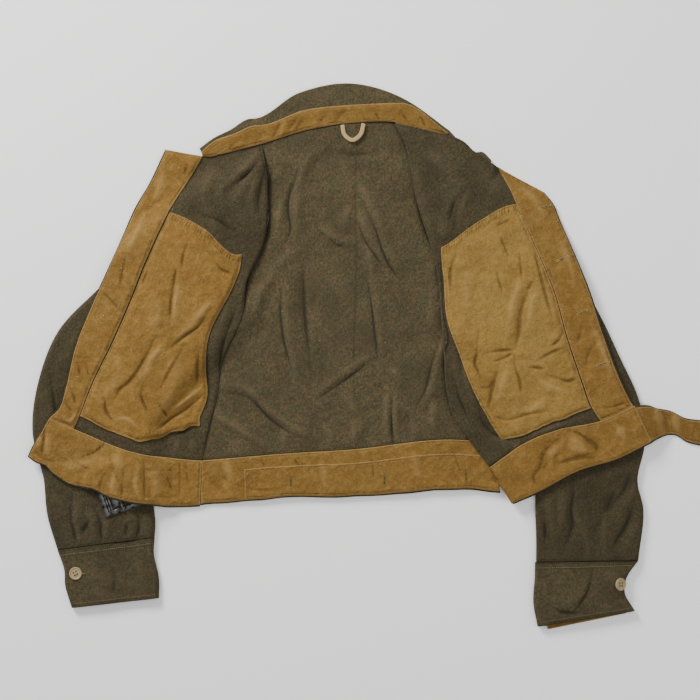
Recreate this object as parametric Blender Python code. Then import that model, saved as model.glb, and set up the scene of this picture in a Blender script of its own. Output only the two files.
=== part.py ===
"""Battledress jacket laid open on a flat surface, inside up, collar at +Y, the wearer's right side at -X.

Sizes and places are in millimetres and become metres when a mesh is made. Z 0 is the surface that the
jacket lies on, and X and Y are 0 at the middle of the whole outline.
"""

import math
from collections import namedtuple

import bmesh
import bpy
import numpy as np

for leftover in list(bpy.data.objects):
    bpy.data.objects.remove(leftover, do_unlink=True)

# Cloth
WOOL = 1.8
DRILL = 1.0
TAPE = 1.2
SEAM = 0.6
LAYER = 0.35

# How the layers lie
OVER_SLEEVE = 8.3
OVER_SLEEVE_HEAD = 5.8
OVER_COLLAR_END = 5.8
OVER_BUCKLE = 15.0
FOLD_FLAT = 22.0
FOLD_SPREAD = 45.0
FOLD_RETURN = 20.0
COLLAR_CURL = 1.15
COLLAR_SEAM = 1.0
COLLAR_RETURN = 0.8
SLEEVE_SPREAD = 40.0
COLLAR_SPREAD = 16.0
BUCKLE_SPREAD = 30.0
ARMHOLE_SLIT = 5.0

# Trim
EDGE_SHOWS = 2.0
POCKET_BULGE = 2.2
BUTTON_HOLE_RADIUS = 0.9
BUTTON_HOLE_OFFSET = 1.9
BUCKLE_SIZE = (52.0, 44.0)
BUCKLE_BAR = 6.0
BUCKLE_THICK = 2.0
BUCKLE_CORNER = 6.0
BUCKLE_TURN = math.radians(19.5)
BUCKLE_PLACE = (-392.8, -195.6)
PRONG_WIDTH = 3.0
PRONG_THICK = 1.4
TAB_LENGTH = 22.0
TAB_WIDTH = 28.0
LOOP_WIDTH = 5.2
LOOP_PATH = ((-80.6, 322.4), (-77.5, 309), (-67, 301.4), (-55.5, 309), (-51, 324.4))
RIGHT_BUTTON = (-452.9, -303.2)
LEFT_BUTTON = (307.0, -318.0)
LEFT_BUTTON_TILT = math.radians(30)
LINING_PAST_CUFF = 4.0
LINING_INTO_CUFF = 20.0
LINING_INSET = 14.0

FrontRow = namedtuple("FrontRow", "name edge facing middle pocket seam")
RIGHT_FRONT = [
    FrontRow("neck", (-328, 288), (-276, 279), (-252, 281), (-224, 288), (-193, 296)),
    FrontRow("yoke", (-350, 242), (-300, 238), (-259, 232), (-221, 232), (-185, 243)),
    FrontRow("mouth", (-372, 204), (-323, 200), (-273, 177), (-221, 142), (-188, 165)),
    FrontRow("chest", (-403, 131), (-354, 134), (-290, 117), (-232, 99), (-213, 106)),
    FrontRow("underarm", (-434, 63), (-382, 65), (-325, 43), (-265, 32), (-222, 49)),
    FrontRow("ribs", (-455, 8), (-406, 11), (-343, -9), (-272, -17), (-248, -9)),
    FrontRow("side", (-466, -40), (-430, -38), (-353, -65), (-270, -59), (-256, -59)),
    FrontRow("hem", (-476, -72), (-447, -83), (-360, -118), (-283, -96), (-267, -104)),
    FrontRow("waist", (-490, -86), (-455, -101), (-374, -133), (-294, -145), (-277, -146)),
]
RIGHT_FRONT_STEPS = (3, 3, 4, 4, 3, 3, 3, 2)
RIGHT_FRONT_COLUMNS = (1, 3, 4, 4, 2)

FoldRow = namedtuple("FoldRow", "name fold pocket middle facing edge lift curl turned")
LEFT_FRONT = [
    FoldRow("neck", (-6, 324), (66, 308), (105, 284), (136, 264), (202, 228), 4.9, 1.2, 3.3),
    FoldRow("yoke", (11, 288), (62, 253), (109, 236), (151, 236), (211, 217), 8.0, 1.7, 3.3),
    FoldRow("shoulder", (25, 218), (60, 201), (111, 212), (157, 224), (217, 207), 9.2, 2.2, 3.3),
    FoldRow("mouth", (45, 154), (57, 151), (112, 189), (162, 211), (221, 196), 9.2, 2.2, 3.3),
    FoldRow("chest", (56, 106), (61, 106), (122, 131), (185, 161), (238, 155), 9.2, 2.2, 3.3),
    FoldRow("underarm", (60, 53), (65, 53), (140, 70), (214, 93), (263, 93), 9.2, 2.2, 3.3),
    FoldRow("ribs", (64, -3), (84, -2), (161, 8), (232, 29), (283, 32), 9.2, 2.2, 3.3),
    FoldRow("side", (69, -56), (106, -58), (179, -48), (253, -33), (305, -28), 9.2, 2.2, 3.3),
    FoldRow("hem", (84, -96), (141, -114), (203, -96), (267, -72), (321, -61), 9.2, 2.2, 5.8),
    FoldRow("waist", (127, -153), (165, -126), (217, -103), (279, -90), (326, -69), 9.2, 2.2, 6.0),
]
LEFT_FRONT_STEPS = (2, 3, 3, 3, 2, 3, 3, 3, 2)
LEFT_FRONT_COLUMNS = (2, 4, 4, 3, 1)
CURL_ANGLES = (180, 135, 90, 45)

BackRow = namedtuple("BackRow", "name seam blade_right spine blade_left under")
BACK = [
    BackRow("neck", (-193, 296), (-126, 316), (-67, 325), (-7, 326), (17, 306)),
    BackRow("yoke", (-185, 243), (-126, 262), (-67, 268), (-7, 268), (41, 262)),
    BackRow("mouth", (-188, 165), (-126, 180), (-67, 186), (-7, 186), (60, 178)),
    BackRow("chest", (-213, 106), (-135, 106), (-67, 106), (0, 106), (82, 106)),
    BackRow("underarm", (-222, 49), (-140, 48), (-67, 47), (5, 47), (88, 48)),
    BackRow("ribs", (-248, -9), (-150, -9), (-67, -9), (10, -9), (90, -9)),
    BackRow("side", (-256, -59), (-155, -58), (-65, -57), (15, -56), (94, -55)),
    BackRow("hem", (-267, -104), (-160, -99), (-63, -96), (20, -92), (108, -90)),
    BackRow("waist", (-277, -146), (-160, -136), (-63, -130), (49, -117), (124, -119)),
]
BACK_STEPS = (2, 3, 3, 3, 3, 3, 3, 2)
BACK_COLUMNS = (4, 4, 4, 4)
ARMHOLE_ROWS = ("yoke", "mouth", "chest")

# The lower edge of each waistband, below the columns of the panel that it hangs from
RIGHT_BAND_HEM = ((-520, -140), (-487, -163), (-399, -199), (-301, -211), (-280, -210))
BACK_BAND_HEM = ((-279, -210), (-154, -197), (-63, -198), (52, -187), (140, -191))
LEFT_BAND_HEM = ((160, -205), (196, -189), (249, -161), (301, -145), (350, -121))
BAND_LEVELS = (0.0, 0.28, 0.62, 0.97, 1.0)
STRIP_FIRST_COLUMN = 2

# The collar, above the columns of the neck edge, from the wearer's right to the left
CollarColumn = namedtuple("CollarColumn", "name band edge")
COLLAR = [
    CollarColumn("right_facing", (-277, 285.5), (-279, 288.5)),
    CollarColumn("right_middle", (-259, 300), (-261, 302)),
    CollarColumn("right_pocket", (-232, 310), (-237, 314)),
    CollarColumn("shoulder", (-200, 322), (-207, 330)),
    CollarColumn("blade_right", (-133, 343), (-140, 366)),
    CollarColumn("spine", (-69, 350), (-71, 379)),
    CollarColumn("blade_left", (-4, 353), (-2, 361)),
    CollarColumn("left_fold", (2, 353), (4, 358)),
    CollarColumn("left_pocket", (67, 312), (68, 314)),
]
HiddenColumn = namedtuple("HiddenColumn", "name inner outer")
COLLAR_END = [
    HiddenColumn("tuck", (78, 288), (83, 297)),
    HiddenColumn("turn", (98, 267), (103, 283)),
    HiddenColumn("peak", (112, 257), (116, 283)),
    HiddenColumn("point", (122, 252), (127, 272)),
]

SleeveSection = namedtuple("SleeveSection", "name outer inner height")
RIGHT_SLEEVE = [
    SleeveSection("armhole", (-193, 258), (-226, 58), 4.2),
    SleeveSection("head", (-259, 225), (-273, 15), 5.2),
    SleeveSection("upper_arm", (-350, 159), (-315, -23), 7.4),
    SleeveSection("biceps", (-424, 92), (-347, -62), 7.4),
    SleeveSection("above_elbow", (-479, 33), (-364, -90), 7.4),
    SleeveSection("elbow", (-507, -41), (-367, -118), 7.4),
    SleeveSection("below_elbow", (-514, -104), (-360, -153), 7.4),
    SleeveSection("forearm", (-498, -174), (-347, -195), 7.4),
    SleeveSection("wrist", (-493, -223), (-342, -230), 7.4),
    SleeveSection("cuff_seam", (-479, -270.5), (-343, -253), 7.4),
]
RIGHT_CUFF = [
    SleeveSection("seam", (-478.9, -271.1), (-342.9, -253.6), 7.4),
    SleeveSection("button", (-470, -297), (-344, -276), 7.4),
    SleeveSection("below_button", (-468, -322), (-337, -310), 7.4),
    SleeveSection("edge", (-459, -352), (-337, -338), 7.0),
]
LEFT_SLEEVE = [
    SleeveSection("armhole", (50, 262), (99, 44), 4.6),
    SleeveSection("head", (112, 232), (129, 8), 7.4),
    SleeveSection("upper_arm", (182, 179), (157, -34), 7.4),
    SleeveSection("biceps", (232, 131), (174, -69), 7.4),
    SleeveSection("above_elbow", (272, 71), (182, -104), 7.4),
    SleeveSection("elbow", (306, 1), (186, -139), 7.4),
    SleeveSection("below_elbow", (336, -69), (188, -174), 7.4),
    SleeveSection("forearm", (342, -122), (189, -199), 7.4),
    SleeveSection("dent", (332, -174), (189, -223), 7.4),
    SleeveSection("wrist", (340, -213), (190, -251), 7.4),
    SleeveSection("cuff_seam", (333, -285.5), (190, -287.5), 7.4),
]
LEFT_CUFF = [
    SleeveSection("seam", (333, -286.2), (188.5, -288.2), 7.4),
    SleeveSection("button", (318, -307), (188, -310), 8.4),
    SleeveSection("below_button", (314, -330), (186, -342), 8.4),
    SleeveSection("edge", (328, -356), (192, -378), 7.8),
]
StrapColumn = namedtuple("StrapColumn", "name top bottom")
STRAP = [
    StrapColumn("band_end", (326.8, -69.6), (350.5, -120.9)),
    StrapColumn("crease", (346, -69), (361, -115)),
    StrapColumn("narrow", (358, -73), (372, -111)),
    StrapColumn("bent", (378, -77), (386, -111)),
    StrapColumn("join", (399, -87), (401, -120)),
    StrapColumn("flat", (420, -90), (421, -125)),
    StrapColumn("middle", (455, -92), (455, -125)),
    StrapColumn("shoulder", (496, -95), (496, -122)),
    StrapColumn("tip", (518, -105), (518, -111)),
]
STRAP_STEPS = (2, 2, 2, 2, 2, 2, 2, 2)
STRAP_LEVELS = (0, 0.05, 0.5, 0.95, 1)
SLEEVE_STEPS = 2
CUFF_STEPS = 2
RING_BOTTOM = 4
RING_TOP = 9
RING_SIDE_ANGLES = (-45, 0, 45)

Fold = namedtuple("Fold", "name start bend end height width")
BACK_FOLDS = [
    Fold("armhole_roll", (-166, 262), (-164, 190), (-200, 96), 4.5, 10),
    Fold("blade_arc", (-132, 268), (-152, 215), (-118, 165), 3.5, 10),
    Fold("long_right", (-157, 118), (-150, 40), (-143, -88), 5.5, 12),
    Fold("long_spine", (-60, 250), (-28, 180), (4, 112), 5.0, 10),
    Fold("spine_low", (-42, 130), (-26, 60), (-23, -4), 4.0, 9),
    Fold("hip_upper", (-216, -40), (-160, -80), (-124, -112), 6.0, 10),
    Fold("hip_lower", (-262, -62), (-228, -95), (-200, -121), 5.0, 10),
    Fold("waist_tuck_right", (-84, -46), (-64, -84), (-64, -122), 4.5, 8),
    Fold("waist_tuck_left", (-8, -30), (-16, -70), (-15, -112), 4.5, 8),
    Fold("side_sweep", (42, 10), (36, -50), (8, -92), 5.0, 10),
    Fold("cross", (-110, -42), (-80, -16), (-44, -2), 3.0, 9),
]
FRONT_FOLDS = [
    Fold("right_chest", (-262, 262), (-276, 232), (-254, 196), 3.0, 10),
    Fold("left_chest", (92, 236), (80, 210), (74, 176), 3.0, 9),
    Fold("left_side", (84, 20), (80, -30), (104, -80), 2.5, 9),
    Fold("right_hem", (-400, -60), (-350, -90), (-310, -100), 2.5, 10),
    Fold("left_hem", (190, -60), (230, -70), (250, -50), 2.0, 10),
]
BAND_FOLDS = [
    Fold("right_end", (-486, -104), (-470, -140), (-420, -148), 2.5, 9),
    Fold("right_wave", (-396, -144), (-384, -160), (-374, -176), 3.0, 12),
    Fold("back_wave", (-20, -150), (20, -160), (60, -150), 2.5, 12),
    Fold("left_arc", (190, -140), (230, -112), (262, -134), 3.5, 10),
]
SLEEVE_FOLDS = [
    Fold("right_bow", (-498, -30), (-492, -70), (-486, -100), 2.0, 12),
    Fold("right_pleat_outer", (-458, -218), (-452, -240), (-450, -258), 4.0, 9),
    Fold("right_pleat_inner", (-408, -226), (-412, -242), (-416, -254), 3.5, 9),
    Fold("left_sweep", (262, -168), (270, -210), (240, -262), 4.5, 11),
    Fold("left_ridge", (312, -176), (296, -220), (300, -262), 4.0, 10),
    Fold("left_inner", (214, -208), (226, -236), (212, -264), 3.5, 10),
]
CUFF_FOLDS = [
    Fold("right_lift", (-440, -300), (-400, -316), (-352, -322), 1.5, 14),
    Fold("left_button", (296, -292), (299, -318), (296, -344), 9, 11),
    Fold("left_dip", (280, -300), (270, -330), (220, -350), 2.0, 14),
]


def cloth(name, colour, roughness, metallic=0.0):
    """A plain material in the colour of one cloth or metal."""
    material = bpy.data.materials.new(name)
    material.use_nodes = True
    shader = material.node_tree.nodes["Principled BSDF"]
    shader.inputs["Base Color"].default_value = (*colour, 1.0)
    shader.inputs["Roughness"].default_value = roughness
    shader.inputs["Metallic"].default_value = metallic
    return material


SERGE = cloth("khaki_brown_serge", (0.088, 0.073, 0.044), 0.95)
LINING = cloth("ochre_drill", (0.37, 0.235, 0.095), 0.85)
LOOP_TAPE = cloth("pale_tape", (0.43, 0.32, 0.16), 0.8)
HORN = cloth("pale_button", (0.47, 0.37, 0.23), 0.4)
STEEL = cloth("dull_steel", (0.45, 0.45, 0.46), 0.35, 1.0)


def smooth(knots, counts):
    """Points on a smooth line through the knots, counts[i] steps in gap i. A knot may be a whole row."""
    knots = np.array(knots, float)
    gaps = np.sqrt((np.diff(knots, axis=0).reshape(len(knots) - 1, -1) ** 2).sum(1)) + 1e-6
    slopes = np.array([step / gap for step, gap in zip(np.diff(knots, axis=0), gaps)])
    tangents = [slopes[0]]
    for before, after, a, b in zip(slopes, slopes[1:], gaps, gaps[1:]):
        tangents.append((before * b + after * a) / (a + b))
    tangents.append(slopes[-1])
    line = []
    for i, count in enumerate(counts):
        for t in np.arange(count) / count:
            line.append(
                knots[i] * (1 + 2 * t) * (1 - t) ** 2
                + knots[i + 1] * t * t * (3 - 2 * t)
                + tangents[i] * gaps[i] * t * (1 - t) ** 2
                - tangents[i + 1] * gaps[i] * t * t * (1 - t)
            )
    line.append(knots[-1])
    return np.array(line)


def grid(rows, row_counts, column_counts):
    """A grid of plan points over a table's rows and columns."""
    down = smooth(rows, row_counts)
    return smooth(down.swapaxes(0, 1), column_counts).swapaxes(0, 1)


def towards(start, target, distance):
    """The point that far from start on the way to target."""
    start, target = np.array(start, float), np.array(target, float)
    return tuple(start + (target - start) / np.linalg.norm(target - start) * distance)


def nearest_on_line(points, line):
    """For each point, its distance to the line and how far along the line that is, from 0 to 1."""
    best = np.full(points.shape[:-1], 1e9)
    along = np.zeros(points.shape[:-1])
    for i, (a, b) in enumerate(zip(line, line[1:])):
        t = np.clip(((points - a) @ (b - a)) / ((b - a) @ (b - a)), 0, 1)
        distance = np.linalg.norm(points - (a + t[..., None] * (b - a)), axis=-1)
        closer = distance < best
        best[closer] = distance[closer]
        along[closer] = (i + t[closer]) / (len(line) - 1)
    return best, along


def fold_height(folds, plan):
    """How high the highest of these folds stands at each plan point."""
    height = np.zeros(plan.shape[:-1])
    for fold in folds:
        a, b, c = (np.array(p, float) for p in (fold.start, fold.bend, fold.end))
        line = [a * (1 - t) ** 2 + 2 * b * t * (1 - t) + c * t * t for t in np.linspace(0, 1, 9)]
        distance, along = nearest_on_line(plan, line)
        ends = np.sin(np.pi * np.clip(along, 0.06, 0.94)) ** 0.7
        height = np.maximum(height, fold.height * ends * np.exp(-((distance / fold.width) ** 2)))
    return height


def inside(points, outline):
    """Whether each plan point is inside the closed outline."""
    hits = np.zeros(points.shape[:-1], int)
    for (x0, y0), (x1, y1) in zip(outline, np.roll(outline, -1, axis=0)):
        crosses = (y0 > points[..., 1]) != (y1 > points[..., 1])
        at = x0 + (points[..., 1] - y0) / ((y1 - y0) or 1.0) * (x1 - x0)
        hits += crosses & (points[..., 0] < at)
    return hits % 2 == 1


def ease(share):
    """0 to 1 with a soft start and end."""
    share = np.clip(share, 0, 1)
    return share * share * (3 - 2 * share)


def lift_over(plan, outline, height, spread):
    """How high cloth lies over something of that height and outline, sloping to the floor within spread."""
    outline = np.array(outline, float)
    distance, _ = nearest_on_line(plan, np.vstack([outline, outline[:1]]))
    distance[inside(plan, outline)] = 0
    return height * ease(1.25 * (1 - distance / spread))


def outline_of(sections, first=0):
    """The plan outline of a sleeve from one of its sections on."""
    chosen = sections[first:]
    return [s.outer for s in chosen] + [s.inner for s in reversed(chosen)]


def higher(*heights):
    """The larger of several heights, with the step between them eased."""
    return sum(np.maximum(h, 0) ** 4 for h in heights) ** 0.25


class Sheet:
    """Points on the middle of a cloth's thickness, and the way up out of the cloth at each."""

    def __init__(self, points, out=None):
        self.points = points
        if out is None:
            out = np.cross(np.gradient(points, axis=1), np.gradient(points, axis=0))
            out /= np.linalg.norm(out, axis=-1, keepdims=True)
            out *= np.sign(out[..., 2].mean())
        self.out = out

    def part(self, rows, columns):
        return Sheet(self.points[rows, columns], self.out[rows, columns])

    def raised(self, distance):
        return Sheet(self.points + self.out * np.asarray(distance)[..., None], self.out)


def laid(plan, under, thickness):
    """A sheet with its lower side at these heights over the floor."""
    return Sheet(np.dstack([plan, under + thickness / 2]))


def solid(name, points, faces, material):
    """An object from points in millimetres, with its faces pointing out."""
    mesh = bpy.data.meshes.new(name)
    mesh.from_pydata([tuple(p * 0.001) for p in points], [], faces)
    shaper = bmesh.new()
    shaper.from_mesh(mesh)
    bmesh.ops.recalc_face_normals(shaper, faces=shaper.faces)
    shaper.to_mesh(mesh)
    shaper.free()
    mesh.materials.append(material)
    made = bpy.data.objects.new(name, mesh)
    bpy.context.scene.collection.objects.link(made)
    mesh.shade_smooth()
    mesh.set_sharp_from_angle(angle=math.radians(40))
    return made


def net(index):
    """Triangles over a grid of point numbers, all cut along the same diagonal."""
    faces = []
    for row, after in zip(index, index[1:]):
        for a, b, c, d in zip(row, row[1:], after[1:], after):
            faces += [(a, b, c), (a, c, d)]
    return faces


def wall(name, sheet, thickness, material):
    """A closed wall of cloth round a sheet."""
    rows, columns = sheet.points.shape[:2]
    upper = np.arange(rows * columns).reshape(rows, columns)
    lower = upper + rows * columns
    top = (sheet.points + sheet.out * thickness / 2).reshape(-1, 3)
    bottom = (sheet.points - sheet.out * thickness / 2).reshape(-1, 3)
    faces = net(upper) + [face[::-1] for face in net(lower)]
    for edge in (np.s_[0, :], np.s_[-1, ::-1], np.s_[::-1, 0], np.s_[:, -1]):
        faces += net(np.array([lower[edge], upper[edge]]))
    return solid(name, np.vstack([top, bottom]), faces, material)


def ring(outer, inner, height, inset, folds):
    """One loop round a flattened tube, inset from its outside by that much."""
    outer, inner = np.array(outer), np.array(inner)
    half = np.linalg.norm(outer - inner) / 2
    radius = height / 2
    flat = half - radius
    corner = radius - inset
    steps = [(-s * flat, inset) for s in np.linspace(1, -1, RING_BOTTOM)]
    turns = [math.radians(a) for a in RING_SIDE_ANGLES]
    steps += [(flat + corner * math.cos(a), radius + corner * math.sin(a)) for a in turns]
    steps += [(s * flat, height - inset) for s in np.linspace(1, -1, RING_TOP)]
    steps += [(-flat - corner * math.cos(a), radius + corner * math.sin(a)) for a in turns[::-1]]
    across = (outer - inner) / (2 * half)
    plan = (outer + inner) / 2 + np.array([s[0] for s in steps])[:, None] * across
    level = np.array([s[1] for s in steps])
    on_top = (level > radius) * np.cos(np.clip(abs(np.array([s[0] for s in steps])) / half, 0, 1) * 1.3)
    return np.column_stack([plan, level + fold_height(folds, plan) * on_top])


def tube(name, sections, counts, thickness, folds, material):
    """A flattened tube of cloth through its sections, open at both ends."""
    rows = [[(*s.outer, s.height), (*s.inner, 0.0)] for s in sections]
    line = smooth(rows, counts)
    loops = {
        inset: [ring(row[0][:2], row[1][:2], row[0][2], inset, folds) for row in line]
        for inset in (0.0, thickness)
    }
    around = len(loops[0.0][0])
    index = np.arange(len(line) * around).reshape(len(line), around)
    index = np.column_stack([index, index[:, :1]])
    within = index + len(line) * around
    faces = net(index) + [face[::-1] for face in net(within)]
    faces += net(np.array([within[0], index[0]])) + net(np.array([index[-1], within[-1]]))
    return solid(name, np.vstack(loops[0.0] + loops[thickness]), faces, material)


def row_number(rows, steps, name):
    """The grid row at a named row of a table."""
    return sum(steps[: [row.name for row in rows].index(name)])


def sweep(name, path, section, closed, material):
    """A bar along a path in the plan. The section's points are (sideways, height)."""
    path = np.array(path, float)
    if closed:
        ahead, behind = np.roll(path, -1, axis=0), np.roll(path, 1, axis=0)
    else:
        ahead, behind = np.vstack([path[1:], path[-1:]]), np.vstack([path[:1], path[:-1]])
    along = ahead - behind
    along /= np.linalg.norm(along, axis=1, keepdims=True)
    side = np.column_stack([along[:, 1], -along[:, 0]])
    loops = [np.column_stack([path + side * s, np.full(len(path), h)]) for s, h in section]
    points = np.array(loops).swapaxes(0, 1)
    index = np.arange(points.shape[0] * points.shape[1]).reshape(points.shape[:2])
    index = np.column_stack([index, index[:, :1]])
    faces = net(np.vstack([index, index[:1]]) if closed else index)
    if not closed:
        faces += [tuple(index[0, :-1]), tuple(index[-1, :-1][::-1])]
    return solid(name, points.reshape(-1, 3), faces, material)


def turned(point, centre, turn):
    """A plan point turned about the origin and moved to a centre."""
    x, y = point
    cosine, sine = math.cos(turn), math.sin(turn)
    return (centre[0] + x * cosine - y * sine, centre[1] + x * sine + y * cosine)


def on_buckle(x, y):
    return turned((x, y), BUCKLE_PLACE, BUCKLE_TURN)


def buckle_outline():
    """The corners of the buckle and of the tab that holds it."""
    x, y = BUCKLE_SIZE[0] / 2, BUCKLE_SIZE[1] / 2
    tab, far = TAB_WIDTH / 2, y - BUCKLE_BAR + TAB_LENGTH
    return [on_buckle(*p) for p in ((-x, -y), (x, -y), (x, y), (tab, far), (-tab, far), (-x, y))]


def make_right_front():
    rows = [
        (row.edge, towards(row.edge, row.facing, EDGE_SHOWS), *row[2:]) for row in RIGHT_FRONT
    ]
    plan = grid(rows, RIGHT_FRONT_STEPS, RIGHT_FRONT_COLUMNS)
    under = right_lift(plan) + fold_height(FRONT_FOLDS, plan)
    sheet = laid(plan, under, WOOL)
    wall("right_front", sheet, WOOL, SERGE)
    return sheet


def right_lift(plan):
    """How high the jacket's right half lies over the right sleeve and the buckle on it."""
    return higher(
        lift_over(plan, outline_of(RIGHT_SLEEVE[:2]), OVER_SLEEVE_HEAD, SLEEVE_SPREAD),
        lift_over(plan, outline_of(RIGHT_SLEEVE, 1), OVER_SLEEVE, SLEEVE_SPREAD),
        lift_over(plan, buckle_outline(), OVER_BUCKLE, BUCKLE_SPREAD),
    )


def left_lift(plan):
    """How high the jacket's left half lies over the left sleeve and the end of the collar."""
    end = [c.inner for c in COLLAR_END] + [c.outer for c in reversed(COLLAR_END)]
    end += [COLLAR[-1].edge, LEFT_FRONT[0].pocket]
    return higher(
        lift_over(plan, outline_of(LEFT_SLEEVE), OVER_SLEEVE, SLEEVE_SPREAD),
        lift_over(plan, end, OVER_COLLAR_END, COLLAR_SPREAD),
    )


def turned_under(points, curls, returns, levels):
    """Points of a sheet whose first column is a fold, with the cloth turned under beyond it."""
    edge, top = points[:, 0, :2], points[:, 0, 2]
    inward = points[:, 2, :2] - edge
    inward /= np.linalg.norm(inward, axis=1, keepdims=True)
    columns = [np.column_stack([edge + inward * returns[:, None], levels])]
    for angle in CURL_ANGLES:
        turn = math.radians(angle)
        reach = curls * math.sin(turn)
        drop = curls * (1 - math.cos(turn))
        columns.append(np.column_stack([edge - inward * reach[:, None], top - drop]))
    return np.concatenate([np.array(columns).swapaxes(0, 1), points], axis=1)


def left_sheet(plan, lifts, curls, levels, folds):
    """A sheet of the left front or its waistband, folded back on itself along its first column."""
    under = higher(fold_zone(plan, lifts), left_lift(plan)) + fold_height(folds, plan)
    flat = laid(plan, under, WOOL).points
    return Sheet(turned_under(flat, curls, np.full(len(plan), FOLD_RETURN), levels))


def fold_zone(plan, lifts):
    """How high the cloth lies beside its fold, by its distance from the first column."""
    away = np.linalg.norm(plan - plan[:, :1], axis=-1)
    return lifts[:, None] * ease(1 - (away - FOLD_FLAT) / FOLD_SPREAD)


def make_left_front():
    rows = [
        (*row[1:5], towards(row.edge, row.facing, EDGE_SHOWS), row.edge) for row in LEFT_FRONT
    ]
    plan = grid(rows, LEFT_FRONT_STEPS, LEFT_FRONT_COLUMNS)
    heights = smooth([[row.lift, row.curl, row.turned] for row in LEFT_FRONT], LEFT_FRONT_STEPS)
    sheet = left_sheet(plan, *heights.T, FRONT_FOLDS)
    wall("left_front", sheet, WOOL, SERGE)
    return sheet


def make_back():
    slit = [(row.name in ARMHOLE_ROWS) * ARMHOLE_SLIT + SEAM for row in BACK]
    rows = [((row.seam[0] + gap, row.seam[1]), *row[2:]) for row, gap in zip(BACK, slit)]
    plan = grid(rows, BACK_STEPS, BACK_COLUMNS)
    joined = smooth([[float(row.name not in (*ARMHOLE_ROWS, "neck"))] for row in BACK], BACK_STEPS)
    under = right_lift(plan) * joined + fold_height(BACK_FOLDS, plan)
    sheet = laid(plan, under, WOOL)
    wall("back", sheet, WOOL, SERGE)
    return sheet


def make_facing(name, front, columns):
    """The drill strip sewn inside a front edge, on the front's own points."""
    sheet = front.part(np.s_[:], columns).raised(WOOL / 2 + LAYER + DRILL / 2)
    wall(name, sheet, DRILL, LINING)


def make_pocket(name, front, rows, columns, beside_facing):
    """A drill pocket bag on the front's own points, fullest in its middle."""
    sheet = front.part(rows, columns)
    edge, within = (0, 1) if beside_facing == "first" else (-1, -2)
    points = sheet.points.copy()
    inward = points[:, within] - points[:, edge]
    points[:, edge] += inward / np.linalg.norm(inward, axis=1, keepdims=True) * SEAM
    sheet = Sheet(points, sheet.out)
    down, across = (np.linspace(0, 1, n) for n in sheet.points.shape[:2])
    bulge = np.outer(np.sin(np.pi * down * 0.86), np.sin(np.pi * across)) * POCKET_BULGE
    wall(name, sheet.raised(WOOL / 2 + LAYER + DRILL / 2 + bulge), DRILL, LINING)


def add_band(side, sheet, lined):
    """The serge and the drill of one stretch of waistband."""
    wall(f"{side}_waistband", sheet, WOOL, SERGE)
    lining = sheet.part(np.s_[:-1], lined).raised(WOOL / 2 + LAYER + DRILL / 2)
    wall(f"{side}_waistband_lining", lining, DRILL, LINING)
    return lining


def hem_points(hem, counts, inset_first=False, inset_last=False):
    """The waistband's lower edge, with a point under each column of its panel."""
    ends = [tuple(p) for p in hem]
    if inset_first:
        ends.insert(1, towards(hem[0], hem[1], EDGE_SHOWS))
    if inset_last:
        ends.insert(-1, towards(hem[-1], hem[-2], EDGE_SHOWS))
    return smooth(ends, counts)


def band_plan(panel_edge, hem):
    """Plan points of a waistband from just below its panel's last row down to its own lower edge."""
    down = hem - panel_edge
    start = panel_edge + down / np.linalg.norm(down, axis=1, keepdims=True) * SEAM
    return np.array([start + (hem - start) * level for level in BAND_LEVELS])


def make_waistbands(right, back, left):
    plan = band_plan(right.points[-1, :, :2], hem_points(RIGHT_BAND_HEM, RIGHT_FRONT_COLUMNS, True))
    under = right_lift(plan) + fold_height(BAND_FOLDS, plan)
    add_band("right", laid(plan, under, WOOL), np.s_[1:])

    hem = hem_points(BACK_BAND_HEM, BACK_COLUMNS)
    plan = band_plan(back.points[-1, :, :2], hem)
    plan[:, 0, 0] += SEAM
    under = right_lift(plan) + fold_height(BAND_FOLDS, plan)
    lining = add_band("back", laid(plan, under, WOOL), np.s_[:])
    strip = lining.part(np.s_[1:], np.s_[STRIP_FIRST_COLUMN:]).raised(DRILL + LAYER)
    wall("buttonhole_strip", strip, DRILL, LINING)

    flat = left.points[:, len(CURL_ANGLES) + 1 :]
    plan = band_plan(flat[-1, :, :2], hem_points(LEFT_BAND_HEM, LEFT_FRONT_COLUMNS, False, True))
    last = LEFT_FRONT[-1]
    heights = np.tile([last.lift, last.curl, last.turned], (len(plan), 1))
    sheet = left_sheet(plan, *heights.T, BAND_FOLDS)
    add_band("left", sheet, np.s_[CURL_ANGLES.index(90) + 1 :])


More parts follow.
